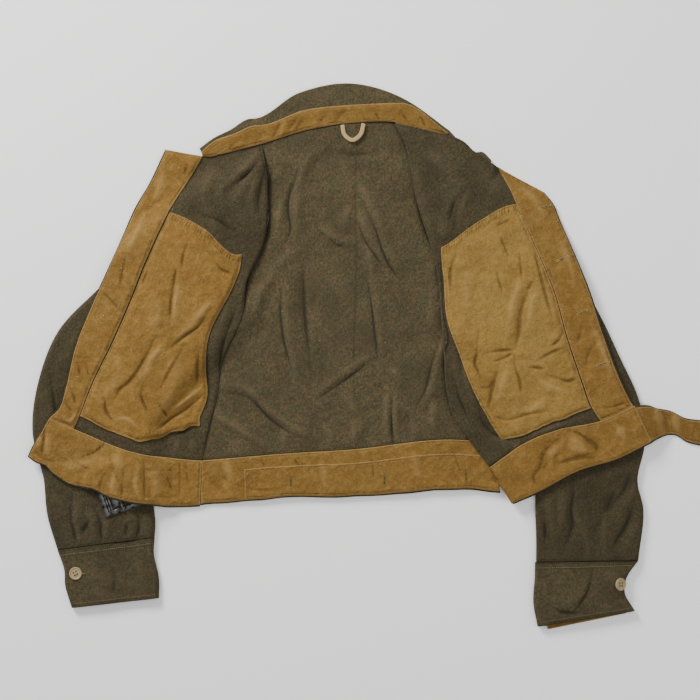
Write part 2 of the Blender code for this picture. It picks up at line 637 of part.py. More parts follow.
def make_collar(right, back, left):
    skip = 1 + RIGHT_FRONT_COLUMNS[1]
    first_left = len(CURL_ANGLES) + 1
    stretches = [
        right.points[0, skip:],
        back.points[0, : sum(BACK_COLUMNS[:3]) + 1],
        left.points[0, first_left : first_left + LEFT_FRONT_COLUMNS[0] + 1],
    ]
    counts = (*RIGHT_FRONT_COLUMNS[2:], 1, *BACK_COLUMNS[:3], 1, LEFT_FRONT_COLUMNS[0])
    neck = np.vstack(stretches)
    names = [column.name for column in COLLAR]
    table = [(c.band, c.edge) for c in COLLAR]
    shoulder = names.index("shoulder")
    table.insert(shoulder + 1, tuple((x + 1.5, y) for x, y in table[shoulder]))
    upper = smooth(table, counts)
    out = upper[:, 0] - neck[:, :2]
    start = neck[:, :2] + out / np.linalg.norm(out, axis=1, keepdims=True) * COLLAR_SEAM
    level = neck[:, 2] - WOOL / 2
    level[-1] = 0
    for _ in range(3):
        level[1:-1] = (level[:-2] + 2 * level[1:-1] + level[2:]) / 4
    band, edge = upper[:, 0], upper[:, 1]
    plan = np.array([start, (start + band) / 2, band, (band + edge) / 2, edge])
    shares = np.linspace(0, 1, len(plan))
    tucked = [[np.add(c.inner, np.subtract(c.outer, c.inner) * s) for c in COLLAR_END] for s in shares]
    whole = np.concatenate([plan, tucked], axis=1)
    rise = 2 * COLLAR_CURL * ease(shares * 2)
    under = np.concatenate([level, np.zeros(len(COLLAR_END))]) + rise[:, None]
    flat = laid(whole, under, WOOL).points
    from_fold = flat[::-1].swapaxes(0, 1)
    reach = np.linalg.norm(whole[-1] - whole[2], axis=1) * COLLAR_RETURN
    curls = np.full(len(from_fold), COLLAR_CURL)
    sheet = Sheet(turned_under(from_fold, curls, reach, np.full(len(from_fold), WOOL / 2)))
    wall("collar", sheet, WOOL, SERGE)
    lining = sheet.part(np.s_[: len(neck)], np.s_[-3:]).raised(WOOL / 2 + LAYER + DRILL / 2)
    wall("collar_band", lining, DRILL, LINING)


def make_strap():
    """The strap on from the left end of the waistband: its serge, and drill inside it."""
    ends = smooth([(c.top, c.bottom) for c in STRAP], STRAP_STEPS)
    plan = np.array([ends[:, 0] + (ends[:, 1] - ends[:, 0]) * level for level in STRAP_LEVELS])
    sheet = laid(plan, left_lift(plan), WOOL)
    wall("waist_strap", sheet, WOOL, SERGE)
    wall("waist_strap_lining", sheet.part(np.s_[1:-1], np.s_[:-1]).raised(WOOL / 2 + LAYER + DRILL / 2),
         DRILL, LINING)


def make_loop():
    """The hanger loop of tape, lying on the back with its ends at the neck seam."""
    path = smooth(LOOP_PATH, (4, 4, 4, 4))
    along = np.gradient(path, axis=0)
    along /= np.linalg.norm(along, axis=1, keepdims=True)
    side = np.column_stack([along[:, 1], -along[:, 0]]) * LOOP_WIDTH / 2
    plan = np.array([path - side, path + side])
    wall("hanger_loop", laid(plan, np.full(plan.shape[:2], WOOL + 2 * LAYER), TAPE), TAPE, LOOP_TAPE)


def make_cuff_lining():
    """The drill lining of the left cuff, on the cuff's lower side and a little past its end."""
    middle, edge = LEFT_CUFF[-2], LEFT_CUFF[-1]
    sides = []
    for near, far, inwards in ((edge.outer, middle.outer, -1), (edge.inner, middle.inner, 1)):
        near, far = ((p[0] + inwards * LINING_INSET, p[1]) for p in (near, far))
        sides.append((towards(near, far, -LINING_PAST_CUFF), towards(near, far, LINING_INTO_CUFF)))
    plan = grid(np.array(sides).swapaxes(0, 1), (3,), (5,))
    wall("left_cuff_lining", laid(plan, np.full(plan.shape[:2], WOOL + LAYER), DRILL), DRILL, LINING)


def make_button(name, place, height, tilt):
    """A round button with four holes, its back at that height, tilted towards +X."""
    profile = ((8.2, 0.0), (9.0, 0.9), (8.8, 2.0), (8.1, 2.6), (7.0, 2.5), (6.2, 1.9))
    sides, hole_sides = 22, 6
    points, loops = [], []
    for radius, level in profile:
        loops.append([len(points) + i for i in range(sides)])
        turns = [math.tau * i / sides for i in range(sides)]
        points += [(radius * math.cos(t), radius * math.sin(t), level) for t in turns]
    faces = net(np.array([[*loop, loop[0]] for loop in loops]))
    rims = {0.0: [loops[0]], 1.9: [loops[-1]]}
    for x, y in ((1, 1), (-1, 1), (-1, -1), (1, -1)):
        pair = []
        for level in rims:
            pair.append([len(points) + i for i in range(hole_sides)])
            turns = [math.tau * i / hole_sides for i in range(hole_sides)]
            points += [
                (x * BUTTON_HOLE_OFFSET + BUTTON_HOLE_RADIUS * math.cos(t),
                 y * BUTTON_HOLE_OFFSET + BUTTON_HOLE_RADIUS * math.sin(t), level)
                for t in turns
            ]
            rims[level].append(pair[-1])
        faces += net(np.array([[*loop, loop[0]] for loop in pair]))
    flat = bmesh.new()
    vertices = [flat.verts.new(p) for p in points]
    for face in faces:
        flat.faces.new([vertices[i] for i in face])
    for loops_at_level in rims.values():
        edges = [flat.edges.get((vertices[a], vertices[b]))
                 for loop in loops_at_level for a, b in zip(loop, [*loop[1:], loop[0]])]
        bmesh.ops.triangle_fill(flat, use_beauty=True, edges=edges)
    flat.verts.index_update()
    shape = [[v.index for v in face.verts] for face in flat.faces]
    flat.free()
    cosine, sine = math.cos(tilt), math.sin(tilt)
    base = (*place, height)
    placed = [
        (base[0] + x * cosine + z * sine, base[1] + y, base[2] - x * sine + z * cosine)
        for x, y, z in points
    ]
    solid(name, np.array(placed), shape, HORN)


def make_buckle():
    """The steel buckle on the right sleeve, its prong, and the tab that holds it under the waistband."""
    floor = RIGHT_SLEEVE[-3].height + 1.0 + LAYER + DRILL
    x, y = (size / 2 - BUCKLE_BAR / 2 for size in BUCKLE_SIZE)
    path = []
    for corner, (u, v) in enumerate(((x, y), (-x, y), (-x, -y), (x, -y))):
        middle = (math.copysign(abs(u) - BUCKLE_CORNER, u), math.copysign(abs(v) - BUCKLE_CORNER, v))
        for share in (0, 1 / 3, 2 / 3, 1):
            angle = math.pi / 2 * (corner + share)
            path.append(on_buckle(middle[0] + BUCKLE_CORNER * math.cos(angle),
                                  middle[1] + BUCKLE_CORNER * math.sin(angle)))
    half, top = BUCKLE_BAR / 2, floor + BUCKLE_THICK
    section = ((-half, floor + 0.5), (-half + 0.8, floor), (half - 0.8, floor), (half, floor + 0.5),
               (half, top - 0.5), (half - 0.8, top), (-half + 0.8, top), (-half, top - 0.5))
    sweep("buckle", path, section, True, STEEL)

    lower = floor - LAYER - DRILL / 2
    upper = top + LAYER + DRILL / 2
    curl = (upper - lower) / 2
    fold = BUCKLE_SIZE[1] / 2 - BUCKLE_BAR - DRILL
    levels = fold + curl + np.linspace(0, TAB_LENGTH, 4)
    rows = [[(*on_buckle(u, v), upper) for v in levels] for u in np.linspace(-TAB_WIDTH, TAB_WIDTH, 4) / 2]
    even = np.ones(len(rows))
    tab = turned_under(np.array(rows), even * curl, even * TAB_LENGTH, even * lower)
    wall("buckle_tab", Sheet(tab), DRILL, SERGE)

    half, bottom = PRONG_WIDTH / 2, top + LAYER
    section = ((-half, bottom), (half, bottom), (half, bottom + PRONG_THICK), (-half, bottom + PRONG_THICK))
    ends = (fold - LAYER - DRILL / 2, -BUCKLE_SIZE[1] / 2)
    sweep("buckle_prong", [on_buckle(0, v) for v in np.linspace(*ends, 4)], section, False, STEEL)


right_front = make_right_front()
left_front = make_left_front()
back_panel = make_back()
make_facing("right_facing", right_front, np.s_[1 : 2 + RIGHT_FRONT_COLUMNS[1]])
make_facing("left_facing", left_front, np.s_[-2 - LEFT_FRONT_COLUMNS[3] : -1])
make_waistbands(right_front, back_panel, left_front)
make_collar(right_front, back_panel, left_front)
make_strap()
make_loop()
make_cuff_lining()
make_buckle()
make_button("right_cuff_button", RIGHT_BUTTON, RIGHT_CUFF[1].height + 0.8, 0.0)
make_button("left_cuff_button", LEFT_BUTTON, LEFT_CUFF[1].height + 4.2, LEFT_BUTTON_TILT)
mouth, hem = (row_number(RIGHT_FRONT, RIGHT_FRONT_STEPS, name) for name in ("mouth", "hem"))
make_pocket("right_pocket", right_front, np.s_[mouth : hem + 1], np.s_[4:13], "first")
mouth, hem = (row_number(LEFT_FRONT, LEFT_FRONT_STEPS, name) for name in ("mouth", "hem"))
make_pocket("left_pocket", left_front, np.s_[mouth : hem + 1], np.s_[7:16], "last")
tube("right_sleeve", RIGHT_SLEEVE, [SLEEVE_STEPS] * (len(RIGHT_SLEEVE) - 1), WOOL, SLEEVE_FOLDS, SERGE)
tube("left_sleeve", LEFT_SLEEVE, [SLEEVE_STEPS] * (len(LEFT_SLEEVE) - 1), WOOL, SLEEVE_FOLDS, SERGE)
tube("right_cuff", RIGHT_CUFF, [CUFF_STEPS] * (len(RIGHT_CUFF) - 1), WOOL, CUFF_FOLDS, SERGE)
tube("left_cuff", LEFT_CUFF, [CUFF_STEPS] * (len(LEFT_CUFF) - 1), WOOL, CUFF_FOLDS, SERGE)
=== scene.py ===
"""Battledress jacket laid open on a pale floor, inside up: cloth, sewing, buttons and buckle round the frame.

Plan sizes are in millimetres, as in the tables below, and become metres when a mesh is made.
"""

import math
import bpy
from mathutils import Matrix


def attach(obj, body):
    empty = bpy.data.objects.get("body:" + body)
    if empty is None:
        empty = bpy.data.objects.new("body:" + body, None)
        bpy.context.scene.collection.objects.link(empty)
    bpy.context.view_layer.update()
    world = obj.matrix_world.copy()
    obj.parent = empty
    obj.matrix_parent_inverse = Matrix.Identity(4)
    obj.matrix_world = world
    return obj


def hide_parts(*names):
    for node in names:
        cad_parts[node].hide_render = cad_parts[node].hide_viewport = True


bl_info = {
    "name": "Battledress jacket",
    "version": (1, 0, 0),
    "blender": (4, 5, 0),
    "location": "View3D > Sidebar > Jacket",
    "description": "Builds the looks of a laid-out battledress jacket round its frame",
    "category": "Object",
}

from collections import namedtuple

import bmesh
import bpy
import numpy as np

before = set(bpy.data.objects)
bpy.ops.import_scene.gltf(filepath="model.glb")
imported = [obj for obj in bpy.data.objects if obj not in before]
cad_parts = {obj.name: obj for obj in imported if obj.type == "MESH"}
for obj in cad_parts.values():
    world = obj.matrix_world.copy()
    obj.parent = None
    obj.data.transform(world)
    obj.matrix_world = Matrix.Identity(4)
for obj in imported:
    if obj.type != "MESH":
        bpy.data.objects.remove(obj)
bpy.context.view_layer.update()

# Cloth
WOOL = 1.8
DRILL = 1.0
TAPE = 1.2
SEAM = 0.5
LAYER = 0.35

# How the layers lie
OVER_SLEEVE = 8.3
OVER_SLEEVE_HEAD = 5.8
OVER_COLLAR_END = 5.8
OVER_BUCKLE = 15.0
FOLD_FLAT = 22.0
FOLD_SPREAD = 45.0
FOLD_RETURN = 20.0
COLLAR_CURL = 1.15
COLLAR_SEAM = 0.8
COLLAR_RETURN = 0.8
SLEEVE_SPREAD = 40.0
COLLAR_SPREAD = 16.0
BUCKLE_SPREAD = 30.0
EDGE_SHOWS = 2.0
RIGHT_POCKET_GAPS = (3.8, 1.4)
LEFT_POCKET_GAPS = (0.7, 2.6)
POCKET_FINER = 1.5
LINING_FINER = 2

FINE = 8
BACK_FINE = 11
CURL_ANGLES = tuple(range(180, 10, -15))
EDGE_ROUND = 0.3
# Half-width in millimetres of the painted shade line down each crease's hollow
CREASE_LINE = 1.4

POCKET_BULGE = 2.2
BUCKLE_SIZE = (52.0, 44.0)
BUCKLE_BAR = 6.0
BUCKLE_THICK = 2.0
Rail = namedtuple("Rail", "place width")
BUCKLE_RAILS = (Rail(-18.2, 2.6), Rail(-14.6, 2.4))
Plate = namedtuple("Plate", "name place size rise stuff")
# The first plate is a near-black sheet of painted shadow in the buckle's opening; the second is the steel
# tongue
BUCKLE_PLATES = (
    Plate("buckle_shadow_plate", (1.5, -2.0), (26.0, 27.0, 0.5), -0.5, "hole"),
    Plate("buckle_tongue", (-6.6, -3.2), (9.0, 18.0, 0.9), 0.7, "steel"),
)
BUTTON_RADIUS = 8.8
BUTTON_DEPTH = 2.6
HOLE_RADIUS = 1.1
HOLE_PLACE = 2.1
BUCKLE_CORNER = 6.0
BUCKLE_TURN = math.radians(19.5)
BUCKLE_PLACE = (-392.8, -195.6)
PRONG_WIDTH = 3.0
PRONG_THICK = 1.4
TAB_LENGTH = 22.0
TAB_WIDTH = 28.0
LOOP_WIDTH = 5.2
LOOP_PATH = ((-80.6, 322.4), (-77.5, 309), (-67, 301.4), (-55.5, 309), (-51, 324.4))
RIGHT_BUTTON = (-452.9, -303.2)
LEFT_BUTTON = (307.0, -318.0)
LEFT_BUTTON_TILT = math.radians(30)
LINING_PAST_CUFF = 4.0
LINING_INTO_CUFF = 20.0
LINING_INSET = 14.0

FrontRow = namedtuple("FrontRow", "name edge facing middle pocket seam")
RIGHT_FRONT = [
    FrontRow("neck", (-328, 288), (-276, 279), (-252, 281), (-224, 288), (-193, 296)),
    FrontRow("yoke", (-350, 242), (-300, 238), (-259, 232), (-221, 232), (-185, 243)),
    FrontRow("mouth", (-372, 204), (-323, 200), (-273, 177), (-221, 142), (-188, 165)),
    FrontRow("chest", (-403, 131), (-354, 134), (-290, 117), (-232, 99), (-213, 106)),
    FrontRow("underarm", (-434, 63), (-382, 65), (-325, 43), (-265, 32), (-222, 49)),
    FrontRow("ribs", (-455, 8), (-406, 11), (-343, -9), (-272, -17), (-248, -9)),
    FrontRow("side", (-466, -40), (-430, -38), (-353, -65), (-270, -59), (-256, -59)),
    FrontRow("hem", (-476, -72), (-447, -83), (-360, -118), (-283, -96), (-267, -104)),
    FrontRow("waist", (-490, -86), (-455, -101), (-374, -133), (-294, -145), (-277, -146)),
]
RIGHT_FRONT_STEPS = (3, 3, 4, 4, 3, 3, 3, 2)
RIGHT_FRONT_COLUMNS = (1, 3, 4, 4, 2)

FoldRow = namedtuple("FoldRow", "name fold pocket middle facing edge lift curl turned")
LEFT_FRONT = [
    FoldRow("neck", (-6, 324), (66, 308), (105, 284), (136, 264), (202, 228), 4.9, 1.2, 3.3),
    FoldRow("yoke", (11, 288), (62, 253), (109, 236), (151, 236), (211, 217), 8.0, 1.7, 3.3),
    FoldRow("shoulder", (25, 218), (60, 201), (111, 212), (157, 224), (217, 207), 9.2, 2.2, 3.3),
    FoldRow("mouth", (45, 154), (57, 151), (112, 189), (162, 211), (221, 196), 9.2, 2.2, 3.3),
    FoldRow("chest", (56, 106), (61, 106), (122, 131), (185, 161), (238, 155), 9.2, 2.2, 3.3),
    FoldRow("underarm", (60, 53), (65, 53), (140, 70), (214, 93), (263, 93), 9.2, 2.2, 3.3),
    FoldRow("ribs", (64, -3), (84, -2), (161, 8), (232, 29), (283, 32), 9.2, 2.2, 3.3),
    FoldRow("side", (69, -56), (106, -58), (179, -48), (253, -33), (305, -28), 9.2, 2.2, 3.3),
    FoldRow("hem", (84, -96), (141, -114), (203, -96), (267, -72), (321, -61), 9.2, 2.2, 5.8),
    FoldRow("waist", (127, -153), (165, -126), (217, -103), (279, -90), (326, -69), 9.2, 2.2, 6.0),
]
LEFT_FRONT_STEPS = (2, 3, 3, 3, 2, 3, 3, 3, 2)
LEFT_FRONT_COLUMNS = (2, 4, 4, 3, 1)

BackRow = namedtuple("BackRow", "name seam blade_right spine blade_left under")
BACK = [
    BackRow("neck", (-193, 296), (-126, 316), (-67, 325), (-7, 326), (17, 306)),
    BackRow("yoke", (-185, 243), (-126, 262), (-67, 268), (-7, 268), (41, 262)),
    BackRow("mouth", (-188, 165), (-126, 180), (-67, 186), (-7, 186), (60, 178)),
    BackRow("chest", (-213, 106), (-135, 106), (-67, 106), (0, 106), (82, 106)),
    BackRow("underarm", (-222, 49), (-140, 48), (-67, 47), (5, 47), (88, 48)),
    BackRow("ribs", (-248, -9), (-150, -9), (-67, -9), (10, -9), (90, -9)),
    BackRow("side", (-256, -59), (-155, -58), (-65, -57), (15, -56), (94, -55)),
    BackRow("hem", (-267, -104), (-160, -99), (-63, -96), (20, -92), (108, -90)),
    BackRow("waist", (-277, -146), (-160, -136), (-63, -130), (49, -117), (124, -119)),
]
BACK_STEPS = (2, 3, 3, 3, 3, 3, 3, 2)
BACK_COLUMNS = (4, 4, 4, 4)
ARMHOLE_ROWS = ("yoke", "mouth", "chest")

# The lower edge of each waistband, below the columns of the panel that it hangs from
RIGHT_BAND_HEM = ((-520, -140), (-487, -163), (-399, -199), (-301, -211), (-280, -210))
BACK_BAND_HEM = ((-279, -210), (-154, -197), (-63, -198), (52, -187), (140, -191))
LEFT_BAND_HEM = ((160, -205), (196, -189), (249, -161), (301, -145), (350, -121))
BAND_LEVELS = (0.0, 0.28, 0.62, 0.97, 1.0)
STRIP_FIRST_COLUMN = 2

# The collar, above the columns of the neck edge, from the wearer's right to the left
CollarColumn = namedtuple("CollarColumn", "name band edge")
COLLAR = [
    CollarColumn("right_facing", (-277, 285.5), (-279, 288.5)),
    CollarColumn("right_middle", (-259, 300), (-261, 302)),
    CollarColumn("right_pocket", (-232, 310), (-237, 314)),
    CollarColumn("shoulder", (-200, 322), (-207, 330)),
    CollarColumn("blade_right", (-133, 343), (-140, 366)),
    CollarColumn("spine", (-69, 350), (-71, 379)),
    CollarColumn("blade_left", (-4, 353), (-2, 361)),
    CollarColumn("left_fold", (2, 353), (4, 358)),
    CollarColumn("left_pocket", (67, 312), (68, 314)),
]
HiddenColumn = namedtuple("HiddenColumn", "name inner outer")
COLLAR_END = [
    HiddenColumn("tuck", (78, 288), (83, 297)),
    HiddenColumn("turn", (98, 267), (103, 283)),
    HiddenColumn("peak", (112, 257), (116, 283)),
    HiddenColumn("point", (122, 252), (127, 272)),
]

SleeveSection = namedtuple("SleeveSection", "name outer inner height")
RIGHT_SLEEVE = [
    SleeveSection("armhole", (-193, 258), (-226, 58), 4.2),
    SleeveSection("head", (-259, 225), (-273, 15), 5.2),
    SleeveSection("upper_arm", (-350, 159), (-315, -23), 7.4),
    SleeveSection("biceps", (-424, 92), (-347, -62), 7.4),
    SleeveSection("above_elbow", (-479, 33), (-364, -90), 7.4),
    SleeveSection("elbow", (-507, -41), (-367, -118), 7.4),
    SleeveSection("below_elbow", (-514, -104), (-360, -153), 7.4),
    SleeveSection("forearm", (-498, -174), (-347, -195), 7.4),
    SleeveSection("wrist", (-493, -223), (-342, -230), 7.4),
    SleeveSection("cuff_seam", (-479, -270.5), (-343, -253), 7.4),
]
RIGHT_CUFF = [
    SleeveSection("seam", (-478.9, -271.1), (-342.9, -253.6), 7.4),
    SleeveSection("button", (-470, -297), (-344, -276), 7.4),
    SleeveSection("below_button", (-468, -322), (-337, -310), 7.4),
    SleeveSection("edge", (-459, -352), (-337, -338), 7.0),
]
LEFT_SLEEVE = [
    SleeveSection("armhole", (50, 262), (99, 44), 4.6),
    SleeveSection("head", (112, 232), (129, 8), 7.4),
    SleeveSection("upper_arm", (182, 179), (157, -34), 7.4),
    SleeveSection("biceps", (232, 131), (174, -69), 7.4),
    SleeveSection("above_elbow", (272, 71), (182, -104), 7.4),
    SleeveSection("elbow", (306, 1), (186, -139), 7.4),
    SleeveSection("below_elbow", (336, -69), (188, -174), 7.4),
    SleeveSection("forearm", (342, -122), (189, -199), 7.4),
    SleeveSection("dent", (332, -174), (189, -223), 7.4),
    SleeveSection("wrist", (340, -213), (190, -251), 7.4),
    SleeveSection("cuff_seam", (333, -285.5), (190, -287.5), 7.4),
]
LEFT_CUFF = [
    SleeveSection("seam", (333, -286.2), (188.5, -288.2), 7.4),
    SleeveSection("button", (318, -307), (188, -310), 8.4),
    SleeveSection("below_button", (314, -330), (186, -342), 8.4),
    SleeveSection("edge", (328, -356), (192, -378), 7.8),
]
StrapColumn = namedtuple("StrapColumn", "name top bottom")
STRAP = [
    StrapColumn("band_end", (326.8, -69.6), (350.5, -120.9)),
    StrapColumn("crease", (346, -69), (361, -115)),
    StrapColumn("narrow", (358, -73), (372, -111)),
    StrapColumn("bent", (378, -77), (386, -111)),
    StrapColumn("join", (399, -87), (401, -120)),
    StrapColumn("flat", (420, -90), (421, -125)),
    StrapColumn("middle", (455, -92), (455, -125)),
    StrapColumn("shoulder", (496, -95), (496, -122)),
    StrapColumn("tip", (518, -105), (518, -111)),
]
STRAP_STEPS = (2, 2, 2, 2, 2, 2, 2, 2)

# A crease's height shapes the cloth and also sets its relief tone, which the materials paint as shade in
# hollows and as a highlight on crests
Crease = namedtuple("Crease", "name path height width")
BACK_CREASES = [
    # Painted shadow of the left front's fold cast on the back, with a shallow dip under it
    Crease(
        "left_fold_shadow_high",
        ((-8, 325), (8, 293), (17, 272), (22, 239), (28, 197), (39, 165), (52, 132), (57, 101)),
        -1.6, 3.2,
    ),
    Crease(
        "left_fold_shadow_low",
        ((57, 101), (59, 73), (60, 39), (67, 21), (63, -11), (67, -43), (73, -77), (95, -109)),
        -1.6, 3.2,
    ),
    Crease(
        "armhole_ridge",
        ((-105, 290), (-127, 277), (-140, 252), (-144, 221), (-144, 188), (-146, 155)), 4.6, 8,
    ),
    Crease(
        "armhole_line",
        (
            (-99, 298), (-119, 291), (-136, 270), (-149, 238),
            (-155, 223), (-156, 197), (-153, 178), (-160, 158),
        ),
        -4.2, 2.4,
    ),
    Crease("armhole_shade", ((-174, 274), (-183, 245), (-189, 211), (-185, 174), (-193, 148)), -2.6, 5),
    Crease("armhole_panel", ((-164, 224), (-169, 190), (-172, 160)), 2.2, 5),
    Crease("armhole_lower", ((-134, 156), (-157, 137), (-176, 115), (-196, 84), (-203, 52)), 3.8, 8),
    Crease("blade_fall", ((-160, 134), (-158, 84), (-155, 29), (-146, -10), (-142, -76)), 4.6, 10),
    Crease("blade_shadow", ((-136, 128), (-134, 60), (-126, -10), (-124, -66)), -2.6, 6),
    Crease("blade_crease", ((-158, 132), (-167, 78), (-162, 22), (-151, -22)), -2.2, 3),
    Crease("spine_fan", ((-60, 246), (-28, 185), (-14, 143), (8, 108)), 4.2, 7),
    Crease("spine_fan_line", ((-66, 240), (-36, 182), (-22, 140), (0, 104)), -2.4, 3),
    Crease("spine_fan_low", ((-56, 202), (-40, 162), (-17, 130)), 3.2, 6),
    Crease("spine_fan_low_line", ((-62, 196), (-47, 158), (-25, 126)), -1.8, 2.6),
    Crease("neck_drop", ((-70, 214), (-80, 174)), 2.4, 6),
    Crease("blade_hook", ((-118, 184), (-101, 171), (-87, 162), (-66, 161)), 3.4, 6),
    Crease("blade_hook_line", ((-116, 177), (-99, 164), (-85, 155), (-64, 154)), -2.0, 2.4),
    Crease("spine_side", ((-45, 165), (-39, 120), (-31, 80)), 3.2, 6),
    Crease("spine_long", ((-42, 128), (-34, 87), (-28, 39), (-23, -6)), 3.2, 7),
    Crease("spine_long_line", ((-50, 124), (-42, 86), (-36, 38), (-31, -6)), -1.8, 2.6),
    Crease("cross_left", ((-114, -50), (-80, -26), (-40, 2)), 3.4, 7),
    Crease("cross_left_line", ((-112, -57), (-78, -34), (-40, -6)), -2.0, 2.6),
    Crease("cross_right", ((-82, -46), (-66, -70), (-56, -86), (-66, -128)), 3.4, 6),
    Crease("small_bend", ((-22, -20), (-6, -24), (2, -38)), 2.6, 5),
    Crease("gather_outer", ((-162, -98), (-161, -134)), 3.0, 4.5),
    Crease("gather_middle", ((-64, -84), (-63, -132)), 3.2, 4.5),
    Crease("gather_left", ((-17, -40), (-18, -84), (-16, -128)), 3.2, 4.5),
    Crease("gather_left_line", ((-11, -42), (-12, -86), (-10, -128)), -2.0, 2.4),
    Crease("gather_left_pair", ((-5, -46), (-6, -86), (-4, -126)), 2.6, 3.6),
    Crease("gather_side", ((46, -50), (47, -114)), 2.8, 5),
    Crease("hip_upper", ((-262, -40), (-216, -46), (-181, -78), (-150, -101), (-124, -113)), 5.2, 7),
    Crease("hip_upper_line", ((-258, -50), (-214, -57), (-180, -89), (-148, -112)), -3.0, 3),
    Crease("hip_lower", ((-274, -66), (-245, -91), (-203, -116), (-178, -131)), 4.4, 6),
    Crease("rib_line", ((-262, 36), (-210, 43)), 2.4, 5),
    Crease("side_sweep", ((64, 28), (54, -6), (45, -43), (26, -80)), 4.2, 8),
    Crease("side_sweep_line", ((56, 24), (45, -8), (36, -45), (18, -80)), -2.2, 3),
    Crease("side_fall", ((52, 150), (44, 90), (46, 30)), 2.6, 8),
    Crease("low_wave", ((-110, -92), (-96, -112), (-100, -130)), 2.2, 6),
    Crease("low_wave_left", ((14, -84), (20, -106), (16, -124)), 2.0, 5),
    Crease("centre_seam", ((-60, 322), (-62, 240), (-61, 120), (-64, 20), (-63, -130)), -0.6, 1.9),
    Crease("neck_hollow", ((-130, 300), (-100, 288), (-60, 282), (-20, 290)), -1.8, 9),
]
RIGHT_FRONT_CREASES = [
    # The first two creases are painted shadow cast by the pocket bag's edge and hem on the wool, each with a
    # shallow dip
    Crease(
        "pocket_edge_shadow",
        ((-221, 140), (-231, 101), (-249, 67), (-266, 29), (-270, 8), (-270, -24), (-267, -46), (-277, -92)),
        -1.0, 3.4,
    ),
    Crease("pocket_hem_shadow", ((-277, -95), (-300, -105), (-321, -112)), -0.9, 3.0),
    Crease("yoke_arc", ((-258, 266), (-273, 226), (-250, 166)), 3.0, 7),
    Crease("yoke_fold", ((-193, 288), (-215, 263), (-238, 242), (-253, 224)), 3.4, 6),
    Crease("yoke_fold_line", ((-190, 280), (-211, 256), (-232, 237)), -2.2, 2.8),
    Crease("yoke_band", ((-190, 280), (-214, 240), (-241, 205)), 2.6, 9),
    Crease("yoke_inner", ((-200, 250), (-206, 214), (-196, 176)), 2.4, 7),
    Crease("armhole_shade", ((-185, 277), (-193, 244), (-199, 211), (-193, 174)), -2.4, 5),
    Crease("mouth_shade", ((-286, 199), (-260, 192), (-224, 168)), -1.6, 5),
    Crease("side_fall", ((-240, 70), (-258, 10), (-262, -50)), 2.4, 7),
    Crease("side_line", ((-232, 60), (-250, 6), (-254, -50)), -2.0, 3),
    Crease("hem_wave", ((-420, -92), (-380, -116), (-340, -122)), 2.6, 6),
    Crease("hem_gather", ((-314, -115), (-308, -134)), 2.4, 4),
    Crease("hem_gather_pair", ((-294, -112), (-286, -137)), 2.2, 4),
]
RIGHT_POCKET_CREASES = [
    Crease("upright", ((-312, 119), (-318, 84), (-321, 44)), -1.9, 2.2),
    Crease("upright_swell", ((-307, 118), (-311, 81), (-314, 42)), 1.4, 4),
    Crease(
        "slant",
        ((-322, 29), (-343, 23), (-347, 12), (-357, -6), (-376, -35), (-391, -48), (-397, -60)),
        -2.0, 2.4,
    ),
    Crease("slant_swell", ((-328, 15), (-342, 1), (-353, -20), (-370, -42)), 1.8, 5),
    Crease("edge_fold", ((-251, 78), (-269, 58), (-280, 42), (-300, 27), (-325, 8)), -1.7, 2.4),
    Crease("edge_swell", ((-258, 81), (-274, 62), (-288, 45), (-311, 25)), 1.8, 6),
    Crease("side_shade", ((-280, 8), (-283, -17), (-285, -45)), -1.9, 3.6),
    Crease("low_bend", ((-359, -41), (-360, -57), (-352, -77)), -1.4, 2.2),
    Crease("low_right", ((-338, -64), (-325, -86)), -1.5, 2.4),
    Crease("low_left", ((-423, -41), (-412, -57), (-409, -77), (-399, -92)), -1.4, 2.4),
    Crease("mouth_left", ((-347, 132), (-360, 99)), -1.2, 2.4),
    Crease("mouth_middle", ((-294, 162), (-302, 140), (-304, 123)), -1.2, 2.2),
    Crease("mouth_right", ((-258, 132), (-249, 120), (-235, 115)), -1.2, 2.2),
    Crease("cheek", ((-350, 92), (-336, 57), (-350, 36)), 1.6, 8),
    Crease("belly", ((-308, -20), (-322, -55), (-350, -97)), 1.8, 9),
    Crease("bag_front", ((-270, -50), (-286, -64), (-302, -77), (-321, -87), (-339, -102)), -2.6, 2.2),
    Crease("bag_front_swell", ((-276, -42), (-291, -55), (-308, -67), (-328, -78)), 1.8, 4),
    Crease("belly_left", ((-403, 8), (-389, -22), (-420, -62)), 1.2, 7),
    Crease("bottom_tuck", ((-406, -97), (-384, -87), (-364, -101)), 1.2, 3.6),
    Crease("long_slope", ((-300, 15), (-319, -17), (-336, -50)), -1.2, 3),
    Crease("short_slope", ((-311, 6), (-325, -22)), 1.0, 3),
]
RIGHT_FACING_CREASES = [
    Crease("upper_line", ((-381, 148), (-391, 94)), -1.0, 2.2),
    Crease("cross_line", ((-413, 89), (-391, 65)), -1.1, 2.2),
    Crease("top_bend", ((-329, 263), (-336, 235), (-347, 213)), 1.0, 5),
    Crease("top_pucker", ((-294, 274), (-302, 252)), -0.9, 2.4),
    Crease("middle_swell", ((-356, 197), (-374, 158), (-385, 132)), 1.1, 5),
    Crease("middle_line", ((-364, 185), (-377, 154)), -0.9, 2.2),
    Crease("low_ripple", ((-451, -6), (-445, -28)), -1.0, 2.2),
    Crease("low_ripple_second", ((-438, -7), (-434, -28)), -0.9, 2),
    Crease("low_ripple_third", ((-459, -42), (-452, -67)), -1.0, 2.2),
    Crease("foot", ((-473, -81), (-459, -90), (-451, -78)), 1.0, 3),
    Crease("foot_line", ((-468, -64), (-456, -78)), -0.9, 2.2),
]
